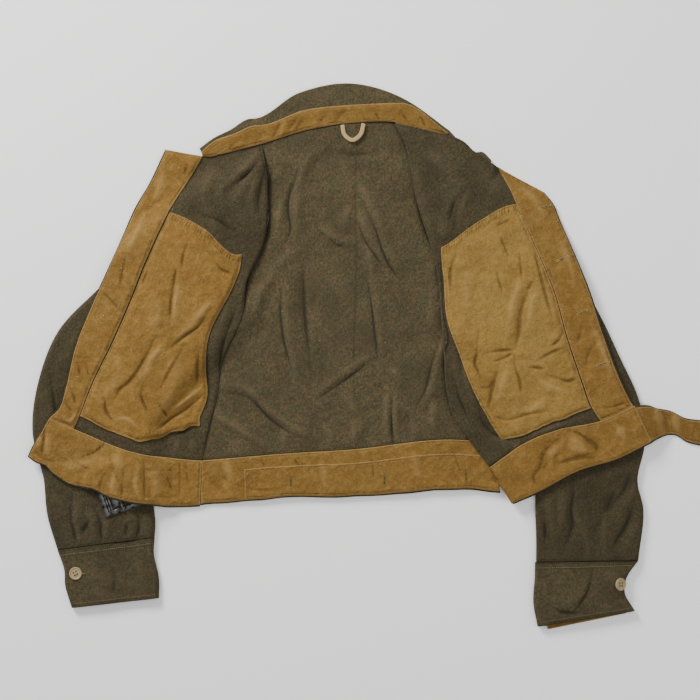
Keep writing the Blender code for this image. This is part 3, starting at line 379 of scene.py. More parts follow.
LEFT_FRONT_CREASES = [
    Crease("fold_shade", ((57, 128), (58, 96), (60, 57), (67, 20), (62, 3), (63, -8), (67, -36)), -1.6, 2.2),
    # Painted shadow cast by the pocket bag's edge on the wool, with a shallow dip
    Crease(
        "pocket_edge_shadow",
        ((80, 6), (97, -35), (108, -62), (111, -85), (140, -113), (162, -108), (188, -99)), -0.9,
        3.0,
    ),
    Crease("yoke_arc", ((84, 236), (68, 192), (63, 160)), 3.2, 8),
    Crease("yoke_fall", ((87, 241), (74, 210), (64, 176)), -2.2, 4),
    Crease("yoke_swell", ((98, 238), (87, 207), (80, 182)), 2.4, 6),
    Crease("yoke_fan", ((40, 282), (72, 250), (92, 214)), 2.2, 7),
    Crease("collar_bone", ((20, 262), (34, 214), (44, 176)), 2.6, 7),
    Crease("edge_roll", ((20, 267), (29, 218), (42, 174), (56, 132)), 1.8, 5),
    Crease("shoulder", ((98, 274), (123, 249), (140, 218)), 1.8, 7),
    Crease("side_fall", ((74, 26), (78, -30), (92, -84)), 2.8, 6),
    Crease("side_line", ((73, -14), (81, -55), (98, -95)), -2.0, 3),
    Crease("side_second", ((88, -4), (96, -44), (112, -92)), 2.2, 5),
    Crease("hem_wave", ((176, -112), (214, -100), (256, -84)), 2.2, 5),
    Crease("hem_tuck", ((172, -104), (179, -113)), -2.0, 2.2),
]
LEFT_POCKET_CREASES = [
    Crease("side_upright", ((111, 53), (107, 22), (106, 2), (103, -7), (111, -31)), -1.5, 2.2),
    Crease("star_left", ((111, 3), (132, 7), (158, 9)), -1.4, 2.2),
    Crease("fold", ((183, 118), (177, 92), (167, 60), (164, 28), (159, 9)), -2.3, 3.6),
    Crease("fold_swell", ((174, 123), (164, 92), (154, 62), (150, 28)), 1.8, 5),
    Crease("fold_swell_right", ((195, 106), (183, 70), (178, 34)), 1.4, 5),
    Crease("star_down", ((159, 9), (159, -14), (166, -36), (167, -52)), -1.4, 2.2),
    Crease("star_slant", ((132, -7), (145, -2), (157, 4)), -1.4, 2.2),
    Crease("star_shade", ((137, -10), (132, -34), (126, -56), (119, -78)), -1.7, 3.6),
    Crease("star_shade_swell", ((148, -14), (144, -42), (132, -76)), 1.5, 5),
    Crease("small_hook", ((109, -43), (122, -44), (132, -30)), -1.2, 2.2),
    Crease("right_line", ((171, -15), (200, -17)), -1.3, 2.2),
    Crease("right_rise", ((183, -10), (200, -1), (225, 12)), -1.5, 2.3),
    Crease("right_fall", ((195, -23), (219, -31), (236, -35), (244, -31)), -1.5, 2.3),
    Crease("right_swell", ((182, -25), (213, -45), (241, -50)), 1.2, 5),
    Crease("strip_inner", ((167, 203), (182, 182), (185, 158), (190, 132), (200, 92), (211, 53)), -1.5, 2),
    Crease("strip_outer", ((175, 203), (190, 168), (198, 144), (207, 119), (218, 81), (228, 42)), -1.2, 1.9),
    Crease("strip_end", ((229, 39), (220, 22), (209, 13)), -1.7, 2.2),
    Crease("upper_fine", ((140, 163), (151, 137)), -1.1, 2),
    Crease("upper_fine_second", ((165, 144), (170, 104)), -1.2, 2),
    Crease("upper_fine_third", ((133, 119), (141, 90)), -1.1, 2),
    Crease("upper_slant", ((191, 115), (175, 90)), -1.3, 2.2),
    Crease("mouth_dip", ((78, 146), (70, 120), (69, 92)), -1.2, 3),
    Crease("cheek", ((98, 132), (92, 92), (95, 56)), 1.6, 8),
    Crease("low_cheek", ((204, -59), (182, -76), (157, -81)), 1.3, 6),
    Crease("hem_fold", ((129, -84), (151, -88), (176, -81), (210, -76)), -1.3, 2.4),
    Crease("mouth_wrinkle", ((136, 182), (154, 190)), -1.0, 1.8),
]
LEFT_FACING_CREASES = [
    Crease("lower_shade", ((245, -45), (255, -59), (263, -76)), -0.9, 4),
    Crease("elbow_line", ((253, 42), (246, 17)), -1.0, 2.4),
    Crease("elbow_low", ((276, 25), (263, 6), (256, -17)), -1.0, 2.6),
    Crease("side_line", ((232, 132), (238, 101)), -0.9, 2.2),
    Crease("foot_line", ((274, -73), (297, -70), (316, -64)), -1.0, 2.2),
    Crease("foot_second", ((280, -87), (302, -81)), -0.9, 2),
    Crease("top_swell", ((168, 238), (190, 213), (204, 182)), 1.0, 6),
    Crease("middle_swell", ((221, 162), (234, 132), (245, 90)), 1.0, 5),
    Crease("low_swell", ((266, 48), (283, 6), (297, -39)), 1.1, 5),
]
BAND_CREASES = [
    Crease("right_end", ((-497, -100), (-494, -128)), -1.4, 2.2),
    Crease("right_end_swell", ((-505, -110), (-500, -130)), 1.6, 4),
    Crease("right_arc", ((-486, -146), (-448, -142), (-420, -130), (-408, -118)), -1.6, 2.4),
    Crease("right_arc_swell", ((-478, -156), (-444, -152), (-414, -138)), 1.8, 5),
    Crease("right_wave", ((-396, -140), (-388, -160), (-378, -184)), 2.2, 7),
    Crease("right_wave_line", ((-404, -140), (-396, -162), (-386, -186)), -1.2, 2.4),
    Crease("right_second", ((-350, -150), (-340, -172), (-344, -200)), 1.6, 7),
    Crease("back_first", ((-244, -150), (-232, -176)), 1.4, 6),
    Crease("back_first_line", ((-252, -152), (-240, -178)), -1.0, 2.2),
    Crease("back_puckers", ((-196, -142), (-188, -156)), -1.0, 2),
    Crease("back_second", ((-110, -142), (-104, -180)), 1.3, 6),
    Crease("back_third", ((18, -130), (26, -170)), 1.5, 6),
    Crease("back_fourth", ((-40, -140), (-36, -176)), -0.9, 2.2),
    Crease("back_fifth", ((70, -124), (84, -160)), -1.2, 2.4),
    Crease("left_arc", ((220, -118), (203, -128), (196, -141), (192, -160)), -1.7, 2.4),
    Crease("left_arc_swell", ((227, -123), (213, -134), (207, -154)), 2.0, 5),
    Crease("left_slant", ((232, -102), (251, -110), (270, -128)), -1.8, 3),
    Crease("left_slant_swell", ((227, -112), (246, -120), (260, -134)), 1.8, 5),
    Crease("left_low", ((213, -160), (241, -143), (280, -134)), -1.1, 2.2),
    Crease("left_end", ((300, -96), (318, -120)), 1.4, 5),
]
RIGHT_SLEEVE_CREASES = [
    Crease("bow", ((-500, -20), (-494, -70), (-480, -120)), 2.8, 10),
    Crease("bow_line", ((-489, -20), (-483, -68), (-470, -118)), -2.0, 3),
    Crease("elbow", ((-470, -96), (-440, -120), (-400, -132)), 2.4, 8),
    Crease("under_hem", ((-490, -190), (-479, -202), (-468, -218)), 2.4, 6),
    Crease("pleat_outer", ((-449, -196), (-450, -230), (-445, -266)), 4.2, 6),
    Crease("pleat_outer_line", ((-457, -192), (-459, -229), (-455, -244), (-453, -266)), -3.0, 2.6),
    Crease("pleat_middle", ((-437, -209), (-427, -238), (-427, -262)), 3.2, 5),
    Crease("pleat_middle_line", ((-430, -206), (-419, -232), (-417, -262)), -2.8, 2.4),
    Crease("pleat_slant", ((-429, -222), (-438, -236), (-447, -250)), -2.0, 3.0),
    Crease("inner_line", ((-370, -228), (-380, -236), (-383, -254)), -2.2, 2.4),
    Crease("pleat_inner", ((-412, -224), (-409, -246), (-414, -265)), 3.4, 5),
    Crease("forearm", ((-381, -218), (-375, -238), (-381, -258)), 2.6, 7),
    Crease("forearm_line", ((-370, -213), (-364, -235), (-370, -258)), -1.8, 2.4),
    Crease("inner_edge", ((-354, -213), (-356, -249)), 2.0, 6),
    Crease("upper", ((-420, 70), (-460, 10), (-486, -40)), 2.6, 10),
    Crease("upper_line", ((-493, 36), (-500, 6), (-501, -34)), -2.2, 3),
    Crease("upper_wave", ((-473, 48), (-484, 22), (-491, -14)), 2.6, 7),
]
LEFT_SLEEVE_CREASES = [
    Crease(
        "sweep_hollow",
        ((241, -166), (241, -192), (239, -218), (240, -234), (230, -263), (220, -279)), -3.2, 5,
    ),
    Crease("sweep", ((246, -186), (244, -218), (259, -250), (263, -282)), 3.6, 4),
    Crease("sweep_side", ((228, -196), (226, -226), (214, -262)), 2.8, 6),
    Crease("elbow_hollow", ((302, -180), (293, -202), (285, -221), (265, -250)), -2.8, 6),
    Crease("outer_hollow", ((322, -159), (314, -183), (291, -212)), -2.8, 6),
    Crease("outer_fold", ((332, -172), (322, -196), (300, -222)), 3.2, 5),
    Crease("outer_line", ((325, -202), (317, -231), (301, -258), (292, -273)), -2.6, 5),
    Crease("wrist_fold", ((286, -211), (286, -236), (284, -282)), 2.8, 4),
    Crease("wrist_edge", ((334, -226), (322, -252), (312, -276)), 2.4, 6),
    Crease("inner", ((204, -196), (213, -244), (206, -283)), 3.2, 6),
    Crease("inner_line", ((199, -216), (203, -258)), -1.8, 2.4),
    Crease("upper", ((200, 150), (240, 90), (280, 20)), 2.6, 10),
]
CUFF_CREASES = [
    Crease("right_lift", ((-440, -300), (-400, -316), (-352, -322)), 1.8, 8),
    Crease("right_low", ((-430, -330), (-392, -338)), 1.3, 7),
    Crease("right_bend", ((-406, -286), (-398, -314), (-403, -336)), -1.0, 3),
    Crease("right_end", ((-370, -274), (-361, -308), (-364, -333)), 1.4, 6),
    Crease("left_button", ((296, -292), (299, -318), (296, -344)), 9.0, 11),
    Crease("left_dip", ((262, -296), (254, -330), (220, -352)), 2.4, 8),
    Crease("left_dip_line", ((269, -294), (260, -330), (241, -358)), -1.6, 3),
    Crease("left_wave", ((230, -296), (222, -320)), 1.8, 7),
    Crease("left_low", ((203, -342), (224, -356), (252, -358)), -1.2, 3),
]
COLLAR_CREASES = [
    Crease("fall", ((-120, 352), (-72, 366), (-20, 360)), 1.6, 9),
    Crease("right_bend", ((-196, 326), (-214, 318)), 1.2, 7),
]
NECK_CREASES = [
    Crease("first", ((-193, 312), (-204, 294)), -0.9, 1.9),
    Crease("second", ((-168, 325), (-179, 302)), -1.0, 1.9),
    Crease("second_swell", ((-160, 328), (-169, 305)), 0.9, 2.6),
    Crease("third", ((-144, 333), (-157, 315)), -1.1, 1.9),
    Crease("fourth", ((-127, 342), (-146, 316)), -1.0, 1.9),
    Crease("fifth", ((-98, 344), (-115, 325)), -0.9, 2),
    Crease("sixth", ((-76, 344), (-92, 328)), -0.8, 2),
    Crease("seventh", ((-39, 347), (-28, 329)), -0.9, 2.2),
    Crease("eighth", ((-3, 347), (11, 328)), -1.0, 2.2),
    Crease("ninth", ((25, 342), (36, 319)), -1.0, 2.4),
    Crease("tenth", ((-227, 302), (-241, 288)), -0.8, 1.9),
]
BAND_LINING_CREASES = [
    Crease("left_long", ((222, -114), (203, -131), (195, -154), (185, -168), (188, -180)), -1.3, 2.4),
    Crease("left_short", ((220, -136), (204, -149), (196, -160)), -0.9, 2.2),
    Crease("left_high", ((243, -104), (259, -114), (273, -127), (272, -134)), -1.3, 4),
    Crease("left_flat", ((216, -149), (236, -144), (281, -141)), -1.1, 3),
    Crease("left_full", ((230, -124), (246, -130), (262, -134)), 1.3, 6),
    Crease("right_low", ((-470, -170), (-440, -182), (-405, -190)), -0.8, 2.2),
    Crease("right_high", ((-452, -150), (-430, -158)), -0.8, 2.2),
    Crease("seam_pucker", ((-364, -152), (-368, -176), (-362, -200)), 1.0, 3),
    Crease("seam_first", ((-357, -146), (-357, -174), (-356, -208)), -1.1, 1.6),
    Crease("seam_second", ((-308, -148), (-308, -174), (-309, -206)), -0.8, 1.6),
    Crease("seam_upper", ((-356, -158), (-334, -160), (-308, -158)), -0.8, 1.6),
    Crease("seam_lower", ((-356, -195), (-330, -196), (-300, -196)), -0.8, 1.6),
    Crease("corner_dart", ((-493, -100), (-498, -120), (-499, -140)), -1.2, 2.4),
    Crease("corner_ridge", ((-487, -101), (-491, -122), (-489, -140)), 1.4, 4.5),
    Crease("corner_slack", ((-508, -134), (-490, -145), (-478, -146)), -1.0, 2.6),
    Crease("right_waves", ((-410, -160), (-416, -176), (-420, -190)), -1.0, 2.4),
    Crease("right_waves_pair", ((-396, -158), (-399, -178), (-404, -196)), 1.0, 4),
    Crease("right_waves_third", ((-384, -156), (-386, -180), (-388, -200)), -1.1, 2.4),
    Crease("right_third", ((-330, -160), (-318, -190)), -0.8, 2.4),
    Crease("right_fourth", ((-300, -150), (-296, -180)), -0.7, 2.2),
    Crease("back_low", ((-236, -178), (-200, -186), (-160, -184)), -0.8, 2.2),
    Crease("back_high", ((-150, -140), (-142, -152)), -0.8, 2),
]
SHARED_CREASES = [
    Crease("right_seam", ((-196, 290), (-186, 242), (-188, 165), (-213, 106), (-222, 49)), -1.4, 2.2),
    Crease("right_seam_low", ((-222, 49), (-248, -9), (-256, -59), (-267, -104), (-277, -146)), -1.3, 2.2),
]

RIGHT_POCKET_NUDGES = (
    ((-322, -109), (2, 3), 7),
    ((-302, -104), (1, -3), 6),
    ((-283, -95), (3, -2), 6),
    ((-398, -102), (0, 1.5), 5),
    ((-364, -116), (0, -2), 7),
    ((-347, -115), (0, 1.5), 4),
    ((-420, -90), (0, -1.5), 5),
)
LEFT_POCKET_NUDGES = (
    ((143, -113), (0, -3), 6),
    ((162, -108), (0, 2), 5),
    ((171, -101), (0, 2.5), 4),
    ((190, -98), (0, -1.5), 5),
    ((213, -92), (0, 1.5), 5),
    ((231, -91), (0, -2.5), 6),
    ((112, -85), (2, 1), 6),
)
RIGHT_BAND_NUDGES = (
    ((-521, -139), (1, 0), 9),
    ((-497, -158), (2, 4), 10),
    ((-462, -172), (0, -2.5), 14),
    ((-425, -185), (0, 5), 16),
    ((-394, -200), (-1, 0.5), 14),
    ((-350, -211), (0, 1), 16),
)
BACK_BAND_NUDGES = (
    ((-270, -210), (0, 2), 20),
    ((-190, -202), (0, -1.5), 18),
    ((-60, -197), (0, 2), 24),
    ((20, -197), (0, -2), 24),
    ((100, -190), (0, 2), 20),
)

# Sewing: plan paths of seams, button threads and buttonholes
WOOLLEN = ("right_front", "left_front", "back", "right_cuff", "left_cuff", "right_sleeve", "left_sleeve")
RIGHT_BAND_SEAMS = (
    ((-357, -148), (-358, -174), (-356, -204)),
    ((-487, -145), (-468, -144), (-448, -140), (-427, -132), (-413, -120)),
)
LEFT_STRIP_SEAMS = (
    ((171, 202), (183, 168), (199, 132), (214, 84), (227, 42)),
    ((162, 199), (176, 162), (190, 126), (204, 81), (214, 48)),
    ((228, 41), (218, 25), (209, 15)),
)
CROSSES = ((-309, 262, 4.2), (-357, 196, 4.2), (-388, 122, 4.2), (-413, 56, 4.2), (-449, -29, 4.2))
LEFT_BUTTONHOLES = (
    ((192, 205), (210, 211)),
    ((217, 132), (239, 141)),
    ((246, 57), (260, 64)),
    ((273, -14), (291, -8)),
)
STRIP_BUTTONHOLES = (
    ((-153, -167), (-152, -185)),
    ((-22, -164), (-22, -182)),
    ((91, -158), (92, -176)),
)
LOOSE_STITCHES = (((276, 32), (279, 28)), ((311, -70), (315, -72)), ((321, -66), (323, -69)))
Cut = namedtuple("Cut", "node width length area lies_on")


def smooth(knots, counts):
    """Points on a smooth line through the knots, counts[i] steps in gap i. A knot may be a whole row."""
    knots = np.array(knots, float)
    gaps = np.sqrt((np.diff(knots, axis=0).reshape(len(knots) - 1, -1) ** 2).sum(1)) + 1e-6
    slopes = np.array([step / gap for step, gap in zip(np.diff(knots, axis=0), gaps)])
    tangents = [slopes[0]]
    for before, after, a, b in zip(slopes, slopes[1:], gaps, gaps[1:]):
        tangents.append((before * b + after * a) / (a + b))
    tangents.append(slopes[-1])
    line = []
    for i, count in enumerate(counts):
        for t in np.arange(count) / count:
            line.append(
                knots[i] * (1 + 2 * t) * (1 - t) ** 2
                + knots[i + 1] * t * t * (3 - 2 * t)
                + tangents[i] * gaps[i] * t * (1 - t) ** 2
                - tangents[i + 1] * gaps[i] * t * t * (1 - t)
            )
    line.append(knots[-1])
    return np.array(line)


def grid(rows, row_counts, column_counts):
    """A grid of plan points over a table's rows and columns."""
    down = smooth(rows, row_counts)
    return smooth(down.swapaxes(0, 1), column_counts).swapaxes(0, 1)


def towards(start, target, distance):
    """The point that far from start on the way to target."""
    start, target = np.array(start, float), np.array(target, float)
    return tuple(start + (target - start) / np.linalg.norm(target - start) * distance)


def nearest_on_line(points, line):
    """For each point, its distance to the line and how far along the line that is, from 0 to 1."""
    best = np.full(points.shape[:-1], 1e9)
    along = np.zeros(points.shape[:-1])
    for i, (a, b) in enumerate(zip(line, line[1:])):
        t = np.clip(((points - a) @ (b - a)) / ((b - a) @ (b - a)), 0, 1)
        distance = np.linalg.norm(points - (a + t[..., None] * (b - a)), axis=-1)
        closer = distance < best
        best[closer] = distance[closer]
        along[closer] = (i + t[closer]) / (len(line) - 1)
    return best, along


def inside(points, outline):
    """Whether each plan point is inside the closed outline."""
    hits = np.zeros(points.shape[:-1], int)
    for (x0, y0), (x1, y1) in zip(outline, np.roll(outline, -1, axis=0)):
        crosses = (y0 > points[..., 1]) != (y1 > points[..., 1])
        at = x0 + (points[..., 1] - y0) / ((y1 - y0) or 1.0) * (x1 - x0)
        hits += crosses & (points[..., 0] < at)
    return hits % 2 == 1


def ease(share):
    """0 to 1 with a soft start and end."""
    share = np.clip(share, 0, 1)
    return share * share * (3 - 2 * share)


def lift_over(plan, outline, height, spread):
    """How high cloth lies over something of that height and outline, sloping to the floor within spread."""
    outline = np.array(outline, float)
    distance, _ = nearest_on_line(plan, np.vstack([outline, outline[:1]]))
    distance[inside(plan, outline)] = 0
    return height * ease(1.25 * (1 - distance / spread))


def outline_of(sections, first=0):
    """The plan outline of a sleeve from one of its sections on."""
    chosen = sections[first:]
    return [s.outer for s in chosen] + [s.inner for s in reversed(chosen)]


def higher(*heights):
    """The larger of several heights, with the step between them eased."""
    return sum(np.maximum(h, 0) ** 4 for h in heights) ** 0.25


class Sheet:
    """Points on the middle of a cloth's thickness, and the way up out of the cloth at each."""

    def __init__(self, points, out=None, relief=None):
        self.points = points
        self.relief = np.zeros(points.shape[:2]) if relief is None else relief
        if out is None:
            out = np.cross(np.gradient(points, axis=1), np.gradient(points, axis=0))
            out /= np.linalg.norm(out, axis=-1, keepdims=True)
            out *= np.sign(out[..., 2].mean())
        self.out = out

    def part(self, rows, columns):
        return Sheet(self.points[rows, columns], self.out[rows, columns], self.relief[rows, columns])

    def raised(self, distance, relief=None):
        relief = self.relief if relief is None else relief
        return Sheet(self.points + self.out * np.asarray(distance)[..., None], self.out, relief)


def laid(plan, under, thickness):
    """A sheet with its lower side at these heights over the floor."""
    return Sheet(np.dstack([plan, under + thickness / 2]))


# Sizes and heights in millimetres of the lumps in each cloth
SERGE_LUMPS = ((58, 1.3), (24, 0.75), (10, 0.28), (5, 0.1))
DRILL_LUMPS = ((28, 0.6), (12, 0.42), (6, 0.14))
SLEEVE_LUMPS = ((45, 1.0), (17, 0.5), (8, 0.2))

# Steps of the grids of the waistband and the collar, and of cloth turned under
BAND_STEPS = (4, 5, 5, 1)
TURNED_SHARES = (1, 0.75, 0.5, 0.25, 0.08)
COLLAR_BAND_STEPS = 9
COLLAR_FALL_STEPS = 13
SMOOTHINGS = 300


def finer(counts, times=FINE):
    """Steps of a table's grid, each split into more."""
    return tuple(n * times for n in counts)


def noise_lattice(plan, size, seed):
    """Soft random heights from -1 to 1 over the plan, the same on each run, in lumps of about that size."""
    values = np.random.default_rng(seed).uniform(-1, 1, (160, 160))
    at = plan / size + 80.5
    cell = np.floor(at).astype(int)
    share = ease(at - cell)
    x, y = cell[..., 0] % 159, cell[..., 1] % 159
    u, v = share[..., 0], share[..., 1]
    low = values[y, x] * (1 - u) + values[y, x + 1] * u
    high = values[y + 1, x] * (1 - u) + values[y + 1, x + 1] * u
    return low * (1 - v) + high * v


def uneven_by(plan, sizes, seed, step=1):
    """Random heights with lumps of several sizes, each (size, height), seeded a step apart."""
    return sum(
        height * noise_lattice(plan, size, seed + number * step)
        for number, (size, height) in enumerate(sizes)
    )


def creased(creases, plan):
    """Height that creases add at each plan point, and their tone for painted shade and highlight: crests to
    1, hollows to -1.
    """
    ridge, trough, crest, hollow = np.zeros((4, *plan.shape[:-1]))
    for crease in creases:
        path = np.array(crease.path, float)
        line = smooth(path, [6] * (len(path) - 1)) if len(path) > 2 else path
        distance, along = nearest_on_line(plan, line)
        swell = 0.75 + 0.25 * np.sin(along * 7.0 + crease.width)
        lean = 0.65 + 0.3 * (abs(int(crease.path[0][0])) % 4)
        ends = np.sin(np.pi * np.clip(along, 0.03, 0.97) ** lean) ** 0.75 * swell
        shape = crease.height * ends * np.exp(-((distance / crease.width) ** 1.6))
        ridge = np.maximum(ridge, shape)
        trough = np.minimum(trough, shape)
        # The tone is painted shade along hollows, with a narrower dark line down each, and a painted
        # highlight on crests
        depth = min(1.0, abs(crease.height) / 1.4) * min(1.0, 4.0 / crease.width)
        tone = np.exp(-((distance / (0.9 * crease.width)) ** 1.8))
        if crease.height < 0:
            tone = 0.48 * tone + 0.52 * np.exp(-((distance / CREASE_LINE) ** 2))
        tone = np.minimum(1, 1.15 * depth * ends * tone)
        if crease.height < 0:
            hollow = np.maximum(hollow, tone)
        else:
            crest = np.maximum(crest, tone)
    return ridge + trough, crest - hollow


def nudged(plan, nudges):
    """Plan points with those near each nudge moved along with it."""
    moved = plan.copy()
    for place, move, reach in nudges:
        away = np.linalg.norm(plan - np.array(place, float), axis=-1)
        moved += np.exp(-((away / reach) ** 2))[..., None] * np.array(move, float)
    return moved


def at_steps(values, steps):
    """Rows of values between their own rows."""
    low = np.minimum(steps.astype(int), len(values) - 2)
    share = (steps - low).reshape(-1, *[1] * (values.ndim - 1))
    return values[low] * (1 - share) + values[low + 1] * share


def denser(sheet, times):
    """The same sheet with its points set that many times closer."""
    parts = []
    for values in (sheet.points, sheet.out, sheet.relief):
        for _ in range(2):
            steps = np.linspace(0, len(values) - 1, round((len(values) - 1) * times) + 1)
            values = at_steps(values, steps).swapaxes(0, 1)
        parts.append(values)
    return Sheet(*parts)


def settled(plan, under, creases=()):
    """Wool that lies at least on what is under it, with its creases and soft unevenness."""
    uneven = uneven_by(plan, SERGE_LUMPS, 11)
    height, relief = creased([*creases, *SHARED_CREASES], plan)
    rise = np.maximum(0, 1.2 * height + uneven + 2.4)
    return Sheet(np.dstack([plan, under + rise + WOOL / 2]), relief=relief)


def near_edges(points, reach):
    """0 on the edges of a grid of points, rising softly to 1 that far in."""
    across, down = arc_lengths(points)
    sides = (across, across[:, -1:] - across, down, down[-1:] - down)
    return ease(np.minimum.reduce(sides) / reach)


def wrinkled(points, creases, seed, rise=1.3, reach=6.0):
    """How far a thin lining stands off what it lies on, with nothing at its sewn edges, and its relief."""
    plan = points[..., :2]
    uneven = uneven_by(plan, DRILL_LUMPS, seed)
    height, relief = creased(creases, plan)
    free = near_edges(points, reach)
    return np.maximum(0, rise + 1.5 * height + uneven) * free, relief * np.maximum(free, 0.5)


def mesh_object(name, points, faces, material, slot, uv=None, **values):
    """A piece from points in millimetres, riding on the jacket's one body."""
    mesh = bpy.data.meshes.new(name)
    mesh.from_pydata((np.asarray(points) * 0.001).tolist(), [], faces)
    if uv is not None:
        layer = mesh.uv_layers.new(name="cloth")
        corner = np.zeros(len(mesh.loops), int)
        mesh.loops.foreach_get("vertex_index", corner)
        layer.data.foreach_set("uv", (np.asarray(uv)[corner] * 0.001).ravel())
    for key, value in values.items():
        mesh.attributes.new(key, "FLOAT", "POINT").data.foreach_set("value", np.asarray(value, float))
    shaper = bmesh.new()
    shaper.from_mesh(mesh)
    bmesh.ops.recalc_face_normals(shaper, faces=shaper.faces)
    shaper.to_mesh(mesh)
    shaper.free()
    mesh.materials.append(material)
    piece = bpy.data.objects.new(name, mesh)
    bpy.context.scene.collection.objects.link(piece)
    mesh.shade_smooth()
    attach(piece, "root")
    return piece


def quads(index):
    """Faces over a grid of point numbers."""
    faces = []
    for row, after in zip(index.tolist(), index[1:].tolist()):
        faces += list(zip(row, row[1:], after[1:], after))
    return faces


def arc_lengths(points):
    """Distance along each row and down each column of a grid of points."""
    across = np.cumsum(np.linalg.norm(np.diff(points, axis=1, prepend=points[:, :1]), axis=-1), axis=1)
    down = np.cumsum(np.linalg.norm(np.diff(points, axis=0, prepend=points[:1]), axis=-1), axis=0)
    return across, down


def shell(name, sheet, thickness, material, slot, sewn="lrtb"):
    """A closed shell of cloth round a sheet, with soft cut edges. Sewn sides count for the rim attribute."""
    rows, columns = sheet.points.shape[:2]
    loop = [(0, c) for c in range(columns)] + [(r, columns - 1) for r in range(1, rows)]
    loop += [(rows - 1, c) for c in range(columns - 2, -1, -1)] + [(r, 0) for r in range(rows - 2, 0, -1)]
    r, c = np.array(loop).T
    across, down = arc_lengths(sheet.points)
    sides = {"l": across, "r": across[:, -1:] - across, "t": down, "b": down[-1:] - down}
    rim = np.minimum.reduce([sides[s] for s in sewn] + [np.full((rows, columns), 99.0)])
    uv = np.dstack([across, -down])
    upper = np.arange(rows * columns).reshape(rows, columns)
    lower = upper + rows * columns
    top = sheet.points + sheet.out * thickness / 2
    bottom = sheet.points - sheet.out * thickness / 2
    points = [top.reshape(-1, 3), bottom.reshape(-1, 3)]
    uvs = [uv.reshape(-1, 2)] * 2
    rims = [rim.ravel()] * 2
    relief = sheet.relief
    reliefs = [relief.ravel(), relief.ravel(), relief[r, c]]
    faces = quads(upper) + quads(lower[:, ::-1])
    inner = sheet.points[np.clip(r, 1, rows - 2), np.clip(c, 1, columns - 2)]
    outward = sheet.points[r, c] - inner
    outward /= np.linalg.norm(outward, axis=1, keepdims=True)
    middle = rows * columns * 2 + np.arange(len(loop))
    points.append(sheet.points[r, c] + outward * thickness * EDGE_ROUND)
    uvs.append(uv[r, c])
    rims.append(rim[r, c])
    ring = np.array([lower[r, c], middle, upper[r, c]])
    faces += quads(np.column_stack([ring, ring[:, :1]]))
    values = {"rim": np.concatenate(rims), "relief": np.concatenate(reliefs)}
    return mesh_object(name, np.vstack(points), faces, material, slot, np.vstack(uvs), **values)


def along_side(sheet, side, inset, first=0.0, last=1.0):
    """A line on a sheet, that far in from one side, with the way up out of the cloth along it."""
    points, out = sheet.points, sheet.out
    if side in "tb":
        points, out = points.swapaxes(0, 1), out.swapaxes(0, 1)
    if side in "rb":
        points, out = points[:, ::-1], out[:, ::-1]
    reach = np.cumsum(np.linalg.norm(np.diff(points, axis=1, prepend=points[:, :1]), axis=-1), axis=1)
    line, up = [], []
    for distances, row, normals in zip(reach, points, out):
        line.append([np.interp(inset, distances, row[:, k]) for k in range(3)])
        up.append([np.interp(inset, distances, normals[:, k]) for k in range(3)])
    start, end = int(first * (len(line) - 1)), int(last * (len(line) - 1)) + 1
    return np.array(line)[start:end], np.array(up)[start:end]


class Thread:
    """Stitches gathered from many lines into one piece."""

    def __init__(self):
        self.points = []
        self.faces = []

    def stitch(self, start, end, up, width, height):
        """One stitch lying from start to end."""
        along = end - start
        side = np.cross(along, up)
        side *= width / 2 / (np.linalg.norm(side) + 1e-9)
        middle = (start + end) / 2
        first = len(self.points)
        self.points += [start, middle + side, end, middle - side, middle + up * height, middle - up * 0.3]
        for a, b in ((0, 1), (1, 2), (2, 3), (3, 0)):
            self.faces += [(first + a, first + b, first + 4), (first + b, first + a, first + 5)]

    def run(self, line, up, rise, pitch=2.9, share=0.72, width=0.75, height=0.32, seed=0):
        """A row of stitches along a line that is raised onto the cloth's face."""
        line = line + up * rise
        lengths = np.concatenate([[0], np.cumsum(np.linalg.norm(np.diff(line, axis=0), axis=1))])
        jitter = np.random.default_rng(seed + len(line))
        for start in np.arange(pitch / 2, lengths[-1] - pitch, pitch):
            ends = start + np.array([0, pitch * share]) + jitter.uniform(-0.12, 0.12)
            a, b = (np.array([np.interp(e, lengths, line[:, k]) for k in range(3)]) for e in ends)
            normal = np.array([np.interp(start, lengths, up[:, k]) for k in range(3)])
            sway = np.cross(b - a, normal) * jitter.uniform(-0.04, 0.04)
            self.stitch(a + sway, b - sway, normal, width, height)

    def made(self, name, material):
        return mesh_object(name, np.array(self.points), self.faces, material, "drill")


def right_lift(plan):
    """How high the jacket's right half lies over the right sleeve and the buckle on it."""
    return higher(
        lift_over(plan, outline_of(RIGHT_SLEEVE[:2]), OVER_SLEEVE_HEAD, SLEEVE_SPREAD),
        lift_over(plan, outline_of(RIGHT_SLEEVE, 1), OVER_SLEEVE, SLEEVE_SPREAD),
        lift_over(plan, buckle_outline(), OVER_BUCKLE, BUCKLE_SPREAD),
    )


def left_lift(plan):
    """How high the jacket's left half lies over the left sleeve and the end of the collar."""
    end = [c.inner for c in COLLAR_END] + [c.outer for c in reversed(COLLAR_END)]
    end += [COLLAR[-1].edge, LEFT_FRONT[0].pocket]
    return higher(
        lift_over(plan, outline_of(LEFT_SLEEVE), OVER_SLEEVE, SLEEVE_SPREAD),
        lift_over(plan, end, OVER_COLLAR_END, COLLAR_SPREAD),
    )


def turned(point, centre, turn):
    """A plan point turned about the origin and moved to a centre."""
    x, y = point
    cosine, sine = math.cos(turn), math.sin(turn)
    return (centre[0] + x * cosine - y * sine, centre[1] + x * sine + y * cosine)


def buckle_outline():
    """The corners of the buckle and of the tab that holds it."""
    x, y = BUCKLE_SIZE[0] / 2, BUCKLE_SIZE[1] / 2
    tab, far = TAB_WIDTH / 2, y - BUCKLE_BAR + TAB_LENGTH
    corners = ((-x, -y), (x, -y), (x, y), (tab, far), (-tab, far), (-x, y))
    return [turned(p, BUCKLE_PLACE, BUCKLE_TURN) for p in corners]


